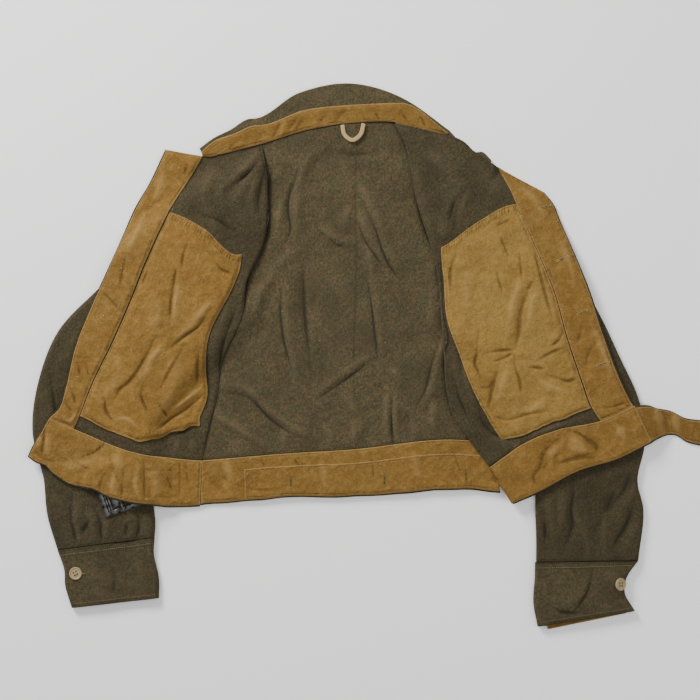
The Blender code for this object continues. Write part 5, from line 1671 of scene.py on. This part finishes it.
def serge_material(effects, name, colour, shade):
    """Napped wool serge: faint twill, a mixed yarn of light and dark fibres, and lint, with painted shade in
    hollows, in seam lines and at sewn edges, a painted highlight on crests, and its colours scaled by shade,
    a painted shade for the piece.
    """
    material, tree, shader = new_material(name)
    place = on_cloth(tree)
    where = in_space(tree)
    rim = wire(tree, "ShaderNodeAttribute", {"attribute_name": "rim"}).outputs["Fac"]
    weave = placed(tree, effects["weave"], Vector=place, Pitch=2.1)
    fuzz = lumps(tree, where, 0.55, Detail=5.0, Roughness=0.72)
    nap = lumps(tree, scaled(tree, where, (1.0, 0.7, 1.0)), 0.36, Detail=4.0, Roughness=0.7)
    yarn = lumps(tree, scaled(tree, place, (1.3, 0.5, 1.0)), 0.9, Detail=3.0)
    broad = mottled(tree, effects, where, 48.0, 0.5, 0.18)
    close = mottled(tree, effects, where, 11.0, 0.5, 0.2)
    seam = placed(tree, effects["seam"], Vector=where, Rim=rim, Inset=2.6)
    hollow, crest = reliefs(tree, 0.5)
    # Each colour below is scaled by shade, painted shade for pieces that lie in less light
    dark = (*(c * 0.34 * shade for c in colour), 1)
    brown = (colour[0] * 1.12 * shade, colour[1] * 1.0 * shade, colour[2] * 0.95 * shade, 1)
    green = (colour[0] * 0.86 * shade, colour[1] * 0.97 * shade, colour[2] * 0.86 * shade, 1)
    light = (colour[0] * 1.9 * shade, colour[1] * 1.85 * shade, colour[2] * 2.0 * shade, 1)
    tint = between(tree, close, 0.2, 0.8)
    base = blend(tree, tint, brown, green)
    base = layer(tree, base, light, fuzz, 0.5, 0.7, 0.75)
    base = layer(tree, base, dark, fuzz, 0.5, 0.32, 0.92)
    base = layer(tree, base, dark, nap, 0.52, 0.36, 0.6)
    base = layer(tree, base, light, nap, 0.52, 0.68, 0.44)
    base = layer(
        tree, base, (colour[0] * 1.1 * shade, colour[1] * 1.2 * shade, colour[2] * 1.5 * shade, 1),
        yarn, 0.42, 0.7, 0.4,
    )
    base = tinted(tree, base, dark, broad, 0.36)
    # Painted shade in hollows and a painted highlight on crests, from the relief tone
    base = tinted(tree, base, dark, hollow, 0.95)
    base = tinted(tree, base, light, crest, 0.2)
    # Painted shade in the sunk seam line and at the sewn edge where the wool meets the next piece
    base = tinted(tree, base, dark, seam.outputs["Line"], 0.4)
    base = tinted(tree, base, dark, seam.outputs["Edge"], 0.75)
    lint = wire(tree, "ShaderNodeTexVoronoi", {"feature": "F1"}, Vector=where, Scale=0.034, Randomness=1.0)
    base = layer(tree, base, (0.36, 0.32, 0.24, 1), lint.outputs["Distance"], 0.03, 0.015, 0.45)
    tree.links.new(base, shader.inputs["Base Color"])
    set_inputs(shader, Roughness=0.95, Specular_IOR_Level=0.12, Sheen_Weight=0.06, Sheen_Roughness=0.6)
    bumped(tree, shader, (
        (seam.outputs["Height"], 0.6, 0.0010),
        (close, 0.5, 0.0014),
        (nap, 0.8, 0.0022),
        (weave.outputs["Height"], 0.35, 0.0005),
        (fuzz, 0.8, 0.0012),
    ))
    return material


def drill_material(effects, name, colour, stain, worn, hem=0.0):
    """Worn cotton drill: twill, grime and stains, edges faded by wear and lightened as a painted highlight,
    painted shade in hollows, seam lines and pucker furrows, a painted highlight on crests, and puckers down
    to a hem in millimetres.
    """
    material, tree, shader = new_material(name)
    place = on_cloth(tree)
    where = in_space(tree)
    rim = wire(tree, "ShaderNodeAttribute", {"attribute_name": "rim"}).outputs["Fac"]
    weave = placed(tree, effects["weave"], Vector=place, Pitch=1.1)
    broad = mottled(tree, effects, where, 75.0, 0.5, 0.16)
    patch = mottled(tree, effects, where, 26.0, 0.53, 0.14)
    close = mottled(tree, effects, where, 9.0, 0.5, 0.22)
    streak = mottled(tree, effects, scaled(tree, place, (1.0, 0.14, 1.0)), 3.4, 0.5, 0.25)
    grain = lumps(tree, where, 0.5, Detail=4.0, Roughness=0.7)
    seam = placed(tree, effects["seam"], Vector=where, Rim=rim, Inset=2.6)
    hollow, crest = reliefs(tree, 0.5)
    full = (*colour, 1)
    dirty = (*stain, 1)
    wear_and_highlight = (*worn, 1)
    # A darker stain colour, used only for painted shade
    painted_shade = (*(c * 0.5 for c in stain), 1)
    warm = (colour[0] * 0.98, colour[1] * 0.86, colour[2] * 0.72, 1)
    base = blend(tree, calc(tree, "MULTIPLY", broad, 0.5), full, warm)
    base = tinted(tree, base, dirty, patch, 0.34)
    base = layer(tree, base, wear_and_highlight, close, 0.55, 1.0, 0.26)
    base = layer(tree, base, dirty, close, 0.45, 0.0, 0.22)
    base = tinted(tree, base, dirty, streak, 0.16)
    base = layer(tree, base, dirty, grain, 0.5, 0.32, 0.62)
    base = layer(tree, base, wear_and_highlight, grain, 0.52, 0.7, 0.3)
    # Darker where the twill's height is low
    base = tinted(tree, base, dirty, calc(tree, "SUBTRACT", 1.0, weave.outputs["Height"]), 0.12)
    # Painted shade in hollows and a painted highlight on crests, from the relief tone
    base = tinted(tree, base, painted_shade, hollow, 0.64)
    base = tinted(tree, base, wear_and_highlight, crest, 0.4)
    # Painted shade in the sunk seam line, and the sewn edge faded by wear and lightened as a painted
    # highlight
    base = tinted(tree, base, painted_shade, seam.outputs["Line"], 0.34)
    base = tinted(tree, base, wear_and_highlight, seam.outputs["Edge"], 0.6)
    heights = []
    if hem:
        down = wire(tree, "ShaderNodeSeparateXYZ", Vector=place).outputs[1]
        on_hem = between(tree, down, -hem, 1.0 - hem)
        tick = lumps(tree, scaled(tree, place, (0.55, 0.06, 1.0)), 1.0, Detail=2.0)
        furrow = between(tree, tick, 0.5, 0.34)
        furrow = calc(tree, "MULTIPLY", furrow, on_hem)
        # Painted shade in the furrows of the hem's puckers
        base = tinted(tree, base, painted_shade, furrow, 0.42)
        heights.append((calc(tree, "SUBTRACT", 1.0, furrow), 0.8, 0.0015))
    tree.links.new(base, shader.inputs["Base Color"])
    set_inputs(shader, Roughness=0.88, Specular_IOR_Level=0.16)
    bumped(tree, shader, (
        (seam.outputs["Height"], 0.8, 0.0013),
        (close, 0.5, 0.0013),
        (streak, 0.3, 0.0007),
        (weave.outputs["Height"], 0.3, 0.00025),
        (grain, 0.4, 0.0005),
        *heights,
    ))
    return material


def yarn_material(name, colour):
    """Sewing thread or tape, a little uneven along its length, and the painted shade in buttonhole slits."""
    material, tree, shader = new_material(name)
    where = in_space(tree)
    noise = lumps(tree, where, 0.7, Detail=4.0)
    dark = (*(c * 0.6 for c in colour), 1)
    tree.links.new(
        blend(tree, noise, dark, (*(c * 1.3 for c in colour), 1)),
        shader.inputs["Base Color"]
    )
    set_inputs(shader, Roughness=0.8)
    bumped(tree, shader, ((noise, 0.4, 0.0003),))
    return material


def button_material():
    """Brown button, mottled and scuffed."""
    material, tree, shader = new_material("scuffed button")
    where = in_space(tree)
    cloud = lumps(tree, where, 0.22, Detail=4.0, Distortion=1.2)
    scuff = lumps(tree, where, 1.6, Detail=5.0)
    base = blend(tree, cloud, (0.20, 0.14, 0.06, 1), (0.37, 0.28, 0.145, 1))
    tree.links.new(base, shader.inputs["Base Color"])
    rough = between(tree, scuff, 0.3, 0.7, 0.35, 0.6)
    tree.links.new(rough, shader.inputs["Roughness"])
    bumped(tree, shader, ((scuff, 0.25, 0.0002),))
    return material


def dark_material(name, colour):
    """Painted shade: a near-black for the inside of the buttons' holes and for the plate in the buckle's
    opening.
    """
    material, tree, shader = new_material(name)
    where = in_space(tree)
    noise = lumps(tree, where, 1.0, Detail=3.0)
    dark = (*(c * 0.5 for c in colour), 1)
    tree.links.new(blend(tree, noise, dark, (*colour, 1)), shader.inputs["Base Color"])
    set_inputs(shader, Roughness=0.9)
    return material


def steel_material():
    """Dull plated steel, scratched, with dark grime."""
    material, tree, shader = new_material("dull plated steel")
    where = in_space(tree)
    grime = lumps(tree, where, 0.16, Detail=5.0)
    scratch = lumps(tree, scaled(tree, where, (0.25, 3.0, 1.0)), 0.9, Detail=3.0)
    mask = between(tree, grime, 0.42, 0.62)
    base = blend(tree, mask, (0.13, 0.13, 0.125, 1), (0.025, 0.025, 0.023, 1))
    tree.links.new(base, shader.inputs["Base Color"])
    rough = between(tree, scratch, 0.3, 0.7, 0.22, 0.5)
    tree.links.new(rough, shader.inputs["Roughness"])
    set_inputs(shader, Metallic=1.0)
    bumped(tree, shader, ((scratch, 0.15, 0.0002), (grime, 0.2, 0.0004)))
    return material


def only(*chosen):
    """Select only these pieces, with the first one active."""
    bpy.ops.object.select_all(action="DESELECT")
    for piece in chosen:
        piece.select_set(True)
    bpy.context.view_layer.objects.active = chosen[0]


def start_primitive(add, name, **sizes):
    """A new primitive with nothing else selected."""
    bpy.ops.object.select_all(action="DESELECT")
    add(**sizes)
    made = bpy.context.object
    made.name = name
    return made


def pick_faces(test):
    """Select the faces of the piece in edit mode whose middle passes the test."""
    shape = bmesh.from_edit_mesh(bpy.context.edit_object.data)
    bpy.ops.mesh.select_all(action="DESELECT")
    for face in shape.faces:
        face.select_set(bool(test(face.calc_center_median(), face.normal)))
    bmesh.update_edit_mesh(bpy.context.edit_object.data)


def pick_edges(test):
    """Select the edges of the piece in edit mode whose two ends pass the test."""
    shape = bmesh.from_edit_mesh(bpy.context.edit_object.data)
    bpy.ops.mesh.select_all(action="DESELECT")
    for edge in shape.edges:
        edge.select_set(bool(test(edge.verts[0].co, edge.verts[1].co)))
    bmesh.update_edit_mesh(bpy.context.edit_object.data)


def block(name, size, bevel, segments, taper=None):
    """A block of that size in millimetres with bevelled edges, its end towards -Y tapered."""
    made = start_primitive(bpy.ops.mesh.primitive_cube_add, name, size=1, location=(0, 0, 0))
    made.scale = [length * 0.001 for length in size]
    bpy.ops.object.transform_apply(location=False, rotation=False, scale=True)
    bpy.ops.object.mode_set(mode="EDIT")
    if taper is not None:
        pick_faces(lambda middle, normal: normal.y < -0.9)
        bpy.ops.transform.resize(value=taper)
    bpy.ops.mesh.select_all(action="SELECT")
    bpy.ops.mesh.bevel(offset=bevel * 0.001, segments=segments, affect="EDGES")
    bpy.ops.object.mode_set(mode="OBJECT")
    return made


def on_buckle(piece, x, y, height):
    """Turn a piece with the buckle and put it at that place on it, in millimetres."""
    x, y = turned((x, y), BUCKLE_PLACE, BUCKLE_TURN)
    piece.rotation_euler = (0, 0, BUCKLE_TURN)
    piece.location = (x * 0.001, y * 0.001, height * 0.001)


def finish_hard(piece, material, slot, *nodes):
    """Smooth, place and dress a hard piece that replaces frame nodes."""
    only(piece)
    for modifier in list(piece.modifiers):
        bpy.ops.object.modifier_apply(modifier=modifier.name)
    bpy.ops.object.transform_apply(location=True, rotation=True, scale=True)
    bpy.ops.object.shade_smooth_by_angle(angle=math.radians(35))
    if material is not None:
        piece.data.materials.clear()
        piece.data.materials.append(material)
    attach(piece, "root")
    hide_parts(*nodes)
    return piece


def button_shape(name):
    """A four-hole button with a raised rim, lying at the origin on its back."""
    radius, depth = BUTTON_RADIUS * 0.001, BUTTON_DEPTH * 0.001
    piece = start_primitive(
        bpy.ops.mesh.primitive_cylinder_add, name, vertices=56, radius=radius, depth=depth,
        location=(0, 0, depth / 2),
    )
    bpy.ops.object.mode_set(mode="EDIT")
    pick_faces(lambda middle, normal: normal.z > 0.9)
    bpy.ops.mesh.inset(thickness=0.0013)
    bpy.ops.mesh.inset(thickness=0.0009)
    bpy.ops.transform.translate(value=(0, 0, -0.0008))
    bpy.ops.mesh.inset(thickness=0.0032)
    bpy.ops.transform.translate(value=(0, 0, 0.0002))
    outer = radius - 0.0003
    pick_edges(lambda a, b: min(math.hypot(*a.xy), math.hypot(*b.xy)) > outer and abs(a.z - b.z) < 1e-5)
    bpy.ops.mesh.bevel(offset=0.0006, segments=3)
    bpy.ops.object.mode_set(mode="OBJECT")
    holes = []
    for x, y in ((1, 1), (-1, 1), (-1, -1), (1, -1)):
        hole = start_primitive(
            bpy.ops.mesh.primitive_cylinder_add, f"{name}_hole", vertices=14,
            radius=HOLE_RADIUS * 0.001, depth=0.01,
            location=(x * HOLE_PLACE * 0.001, y * HOLE_PLACE * 0.001, 0.001),
        )
        holes.append(hole)
    only(*holes)
    bpy.ops.object.join()
    cutter = bpy.context.object
    only(piece)
    cut = piece.modifiers.new("holes", "BOOLEAN")
    cut.operation = "DIFFERENCE"
    cut.object = cutter
    cut.solver = "EXACT"
    bpy.ops.object.modifier_apply(modifier="holes")
    bpy.data.objects.remove(cutter)
    piece.data.materials.clear()
    piece.data.materials.append(STUFF["button"])
    piece.data.materials.append(STUFF["hole"])
    # Faces inside the holes take the painted shade material
    for face in piece.data.polygons:
        in_hole = math.hypot(face.center.x, face.center.y) < 0.0045 and abs(face.normal.z) < 0.3
        face.material_index = 1 if in_hole else 0
    return piece


def placed_button(node, place, height, tilt, turn):
    """A button on its cuff, with crossed thread in its holes."""
    piece = button_shape(f"{node}_body")
    piece.rotation_euler = (0, tilt, turn)
    piece.location = (place[0] * 0.001, place[1] * 0.001, height * 0.001)
    thread = Thread()
    up = np.array([0, 0, 1.0])
    for a, b in (((1, 1), (-1, -1)), ((-1, 1), (1, -1))):
        for shift in (-0.2, 0.2):
            start, end = (
                np.array([p[0] * 1.5 + shift * a[1], p[1] * 1.5 - shift * a[0], 2.15])
                for p in (a, b)
            )
            thread.stitch(start, end, up, 0.4, 0.5)
    turn_by = np.array(piece.rotation_euler.to_matrix())
    thread.points = [turn_by @ p + np.array([*place, height]) for p in thread.points]
    keep(finish_hard(piece, None, "button", node))
    return keep(thread.made(f"{node}_thread", STUFF["pale_thread"]))


def make_buttons():
    spot = np.array(RIGHT_BUTTON)
    cuff = SHEETS["right_cuff"].points.reshape(-1, 3)
    near = cuff[np.linalg.norm(cuff[:, :2] - spot, axis=1) < 9]
    placed_button("right_cuff_button", RIGHT_BUTTON, near[:, 2].max() + 0.25, 0.0, 0.5)
    placed_button("left_cuff_button", LEFT_BUTTON, LEFT_CUFF[1].height + 4.6, LEFT_BUTTON_TILT, 0.0)


def make_buckle():
    """The steel frame of the buckle with its prong, on the right sleeve."""
    floor = RIGHT_SLEEVE[-3].height + 1.0 + LAYER + DRILL
    width, depth = (size * 0.001 for size in BUCKLE_SIZE)
    bar, thick = BUCKLE_BAR * 0.001, BUCKLE_THICK * 0.001
    piece = start_primitive(bpy.ops.mesh.primitive_cube_add, "buckle_body", size=1, location=(0, 0, 0))
    piece.scale = (width, depth, thick)
    bpy.ops.object.transform_apply(location=False, rotation=False, scale=True)
    bpy.ops.object.mode_set(mode="EDIT")
    pick_edges(lambda a, b: abs(a.z - b.z) > thick / 2)
    bpy.ops.mesh.bevel(offset=BUCKLE_CORNER * 0.001, segments=6)
    pick_faces(lambda middle, normal: abs(normal.z) > 0.9)
    bpy.ops.mesh.inset(thickness=bar)
    bpy.ops.mesh.bridge_edge_loops()
    pick_edges(lambda a, b: abs(a.z - b.z) < 1e-6)
    bpy.ops.mesh.bevel(offset=0.0006, segments=3)
    bpy.ops.object.mode_set(mode="OBJECT")
    on_buckle(piece, 0, 0, floor + BUCKLE_THICK / 2)
    rails = []
    for rail in BUCKLE_RAILS:
        size = (rail.width, BUCKLE_SIZE[1] - 1.9 * BUCKLE_BAR, BUCKLE_THICK * 0.8)
        made = block("rail", size, 0.5, 3)
        made.location = (rail.place * 0.001, 0, -BUCKLE_THICK * 0.0001)
        bpy.ops.object.transform_apply(location=True, rotation=False, scale=False)
        on_buckle(made, 0, 0, floor + BUCKLE_THICK / 2)
        rails.append(made)
    only(piece, *rails)
    bpy.ops.object.join()
    keep(finish_hard(piece, STUFF["steel"], "steel", "buckle"))
    # Plates under the frame: painted shadow in the opening and the steel tongue
    for plate in BUCKLE_PLATES:
        made = block(plate.name, plate.size, 0.2, 2)
        on_buckle(made, *plate.place, floor + BUCKLE_THICK / 2 + plate.rise)
        keep(finish_hard(made, STUFF[plate.stuff], "steel"))

    fold = BUCKLE_SIZE[1] / 2 - BUCKLE_BAR - DRILL
    near, far = fold - LAYER - DRILL / 2, -BUCKLE_SIZE[1] / 2
    size = (PRONG_WIDTH, near - far, PRONG_THICK)
    prong = block("buckle_prong_body", size, 0.4, 3, taper=(0.45, 1, 0.6))
    on_buckle(prong, 0, (near + far) / 2, floor + BUCKLE_THICK + LAYER + PRONG_THICK / 2)
    keep(finish_hard(prong, STUFF["steel"], "steel", "buckle_prong"))


def make_tab():
    """The serge tab that holds the buckle, turned round its bar under the waistband."""
    floor = RIGHT_SLEEVE[-3].height + 1.0 + LAYER + DRILL
    lower, upper = floor - LAYER - DRILL / 2, floor + BUCKLE_THICK + LAYER + DRILL / 2
    curl = (upper - lower) / 2
    fold = BUCKLE_SIZE[1] / 2 - BUCKLE_BAR - DRILL
    reach = fold + curl + np.linspace(0, TAB_LENGTH, 3 * FINE)
    rows = [
        [(*turned((u, v), BUCKLE_PLACE, BUCKLE_TURN), upper) for v in reach]
        for u in np.linspace(-TAB_WIDTH / 2, TAB_WIDTH / 2, 12)
    ]
    even = np.ones(len(rows))
    sheet = Sheet(turned_under(np.array(rows), even * curl, even * TAB_LENGTH, even * lower))
    piece = shell("buckle_tab_cloth", sheet, DRILL, STUFF["serge"], "serge")
    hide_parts("buckle_tab")
    keep(piece)


# Places and sizes of lights in metres, powers in watts
Lamp = namedtuple("Lamp", "name place size power colour")
LIGHTS = (
    Lamp("key_light", (-1.7, 2.1, 1.35), 0.9, 150, (1.0, 0.99, 0.975)),
    Lamp("fill_light", (2.2, -0.4, 2.4), 2.6, 36, (0.98, 0.99, 1.0)),
    Lamp("top_light", (0.1, 0.2, 3.2), 2.6, 30, (1.0, 1.0, 1.0)),
)
SKY_STRENGTH = 0.40
# Painted shade: lit and shaded copies of the one serge, each piece's colours scaled darker where it lies in
# less light
SERGE_PAINTED_SHADES = {
    "serge": 0.97,
    "front serge": 0.72,
    "sleeve serge": 0.64,
    "cuff serge": 0.80,
    "collar serge": 1.0,
}
YARNS = {
    "thread": ("brown thread", (0.24, 0.15, 0.06)),
    "pale_thread": ("pale thread", (0.38, 0.31, 0.14)),
    "tape": ("loop tape", (0.36, 0.25, 0.11)),
    # Painted shade in the cut of each buttonhole
    "slit_shade": ("dark thread", (0.045, 0.035, 0.018)),
    "serge_thread": ("serge thread", (0.20, 0.175, 0.10)),
    "green_thread": ("green thread", (0.15, 0.15, 0.04)),
}


class JacketColours(bpy.types.PropertyGroup):
    serge: bpy.props.FloatVectorProperty(
        name="Serge", description="Colour of the wool", subtype="COLOR", default=(0.079, 0.0616, 0.0285)
    )
    drill: bpy.props.FloatVectorProperty(
        name="Drill", description="Colour of the clean cotton", subtype="COLOR", default=(0.190, 0.108, 0.024)
    )
    # Half as dark, this colour is also the painted shade in the drill's hollows, seam lines and pucker
    # furrows
    stain: bpy.props.FloatVectorProperty(
        name="Grime", description="Colour of soiled cotton", subtype="COLOR", default=(0.100, 0.050, 0.010)
    )
    # Also lightens the drill's crests and sewn edges as a painted highlight
    worn: bpy.props.FloatVectorProperty(
        name="Faded", description="Colour of worn cotton edges", subtype="COLOR",
        default=(0.320, 0.205, 0.072),
    )


class JacketView(bpy.types.PropertyGroup):
    frame_width: bpy.props.FloatProperty(
        name="Width in view", description="Width of floor that the picture shows", unit="LENGTH", default=0.98
    )
    middle: bpy.props.FloatVectorProperty(
        name="Middle", description="Point of the floor in the middle of the picture",
        size=2, subtype="TRANSLATION", default=(-0.07, 0.0084),
    )
    height: bpy.props.FloatProperty(
        name="Camera height", description="Height of the camera over the floor", unit="LENGTH", default=2.4
    )


class JACKET_OT_cloths(bpy.types.Operator):
    """Mix the materials of the jacket"""

    bl_idname = "jacket.cloths"
    bl_label = "Cloths and metals"

    def execute(self, context):
        colours = context.scene.jacket_colours
        effects = {"weave": weave_effect(), "mottle": mottle_effect(), "seam": seam_effect()}
        serge, drill = tuple(colours.serge), tuple(colours.drill)
        for part, shade in SERGE_PAINTED_SHADES.items():
            STUFF[part] = serge_material(effects, f"khaki {part}", serge, shade)
        stain, worn = tuple(colours.stain), tuple(colours.worn)
        pale = (drill[0] * 1.31, drill[1] * 1.47, drill[2] * 1.66)
        soiled = tuple(c * 1.25 for c in stain)
        warm, shaded = (tuple(c * times for c in drill) for times in (1.1, 0.76))
        STUFF["drill"] = drill_material(effects, "ochre drill", drill, stain, worn)
        STUFF["pocket"] = drill_material(effects, "ochre pocket drill", warm, stain, worn, HEM)
        STUFF["left pocket"] = drill_material(effects, "pale pocket drill", pale, soiled, worn, HEM)
        STUFF["strap drill"] = drill_material(effects, "ochre strap drill", shaded, stain, worn)
        for part, (name, colour) in YARNS.items():
            STUFF[part] = yarn_material(name, colour)
        STUFF["button"] = button_material()
        # Painted shade for the buttons' holes and the buckle's opening
        STUFF["hole"] = dark_material("grimy hole", (0.03, 0.02, 0.012))
        STUFF["steel"] = steel_material()
        return {"FINISHED"}


class JACKET_OT_fronts(bpy.types.Operator):
    """Make the two fronts and the back"""

    bl_idname = "jacket.fronts"
    bl_label = "Fronts and back"

    def execute(self, context):
        make_fronts()
        make_back()
        return {"FINISHED"}


class JACKET_OT_insides(bpy.types.Operator):
    """Make the facings, pocket bags, waistband and collar"""

    bl_idname = "jacket.insides"
    bl_label = "Facings, pockets, waistband and collar"

    def execute(self, context):
        make_facings()
        make_pockets()
        make_waistbands()
        make_collar()
        make_strap()
        make_loop()
        return {"FINISHED"}


class JACKET_OT_sleeves(bpy.types.Operator):
    """Make the sleeves and cuffs"""

    bl_idname = "jacket.sleeves"
    bl_label = "Sleeves and cuffs"

    def execute(self, context):
        make_sleeves()
        return {"FINISHED"}


class JACKET_OT_hardware(bpy.types.Operator):
    """Make the buckle, its tab and the cuff buttons"""

    bl_idname = "jacket.hardware"
    bl_label = "Buckle and buttons"

    def execute(self, context):
        make_buttons()
        make_buckle()
        make_tab()
        return {"FINISHED"}


class JACKET_OT_sewing(bpy.types.Operator):
    """Make the stitches, buttonholes and button threads"""

    bl_idname = "jacket.sewing"
    bl_label = "Sewing"

    def execute(self, context):
        make_sewing()
        return {"FINISHED"}


class JACKET_OT_cuts(bpy.types.Operator):
    """Does nothing: no cut sizes are stated"""

    bl_idname = "jacket.cuts"
    bl_label = "Cut sizes"

    def execute(self, context):
        return {"FINISHED"}


class JACKET_OT_stage(bpy.types.Operator):
    """Set the pale floor, the lights and the camera over the jacket"""

    bl_idname = "jacket.stage"
    bl_label = "Stage"

    def execute(self, context):
        view = context.scene.jacket_view
        bpy.ops.object.select_all(action="DESELECT")
        bpy.ops.mesh.primitive_plane_add(size=12, location=(0, 0, -0.0004))
        floor = context.object
        floor.name = "pale_floor"
        material, tree, shader = new_material("pale floor")
        grain = wire(tree, "ShaderNodeTexNoise", Scale=3.0)
        shade = blend(tree, grain.outputs[0], (0.93, 0.93, 0.93, 1), (0.96, 0.96, 0.96, 1))
        tree.links.new(shade, shader.inputs["Base Color"])
        shader.inputs["Roughness"].default_value = 0.9
        floor.data.materials.append(material)
        bpy.ops.object.transform_apply(location=True, rotation=True, scale=True)

        for lamp in LIGHTS:
            bpy.ops.object.light_add(type="AREA", location=lamp.place)
            light = context.object
            light.name = lamp.name
            light.data.size = lamp.size
            light.data.energy = lamp.power
            light.data.color = lamp.colour
            towards_jacket = -light.location.normalized()
            light.rotation_euler = towards_jacket.to_track_quat("-Z", "Y").to_euler()

        world = bpy.data.worlds.new("soft studio")
        world.use_nodes = True
        background = world.node_tree.nodes["Background"]
        background.inputs["Color"].default_value = (1, 1, 1, 1)
        background.inputs["Strength"].default_value = SKY_STRENGTH
        context.scene.world = world

        bpy.ops.object.camera_add(location=(*view.middle, view.height), rotation=(0, 0, 0))
        camera = context.object
        camera.data.lens = camera.data.sensor_width * view.height / view.frame_width
        context.scene.camera = camera
        return {"FINISHED"}


class JACKET_PT_panel(bpy.types.Panel):
    """The jacket's pieces"""

    bl_label = "Jacket"
    bl_idname = "JACKET_PT_panel"
    bl_space_type = "VIEW_3D"
    bl_region_type = "UI"
    bl_category = "Jacket"

    def draw(self, context):
        for settings in (context.scene.jacket_colours, context.scene.jacket_view):
            for key in settings.bl_rna.properties.keys():
                if key not in ("rna_type", "name"):
                    self.layout.prop(settings, key)
        for operator in OPERATORS:
            self.layout.operator(operator.bl_idname)


GROUPS = (JacketColours, JacketView)
OPERATORS = (
    JACKET_OT_cloths,
    JACKET_OT_fronts,
    JACKET_OT_insides,
    JACKET_OT_sleeves,
    JACKET_OT_hardware,
    JACKET_OT_sewing,
    JACKET_OT_cuts,
    JACKET_OT_stage,
)


def register():
    for made in (*GROUPS, *OPERATORS, JACKET_PT_panel):
        bpy.utils.register_class(made)
    bpy.types.Scene.jacket_colours = bpy.props.PointerProperty(type=JacketColours)
    bpy.types.Scene.jacket_view = bpy.props.PointerProperty(type=JacketView)


def unregister():
    del bpy.types.Scene.jacket_view
    del bpy.types.Scene.jacket_colours
    for made in reversed((*GROUPS, *OPERATORS, JACKET_PT_panel)):
        bpy.utils.unregister_class(made)


def main():
    register()
    bpy.ops.jacket.cloths()
    bpy.ops.jacket.fronts()
    bpy.ops.jacket.insides()
    bpy.ops.jacket.sleeves()
    bpy.ops.jacket.hardware()
    bpy.ops.jacket.sewing()
    bpy.ops.jacket.cuts()
    bpy.ops.jacket.stage()


if __name__ == "__main__":
    main()
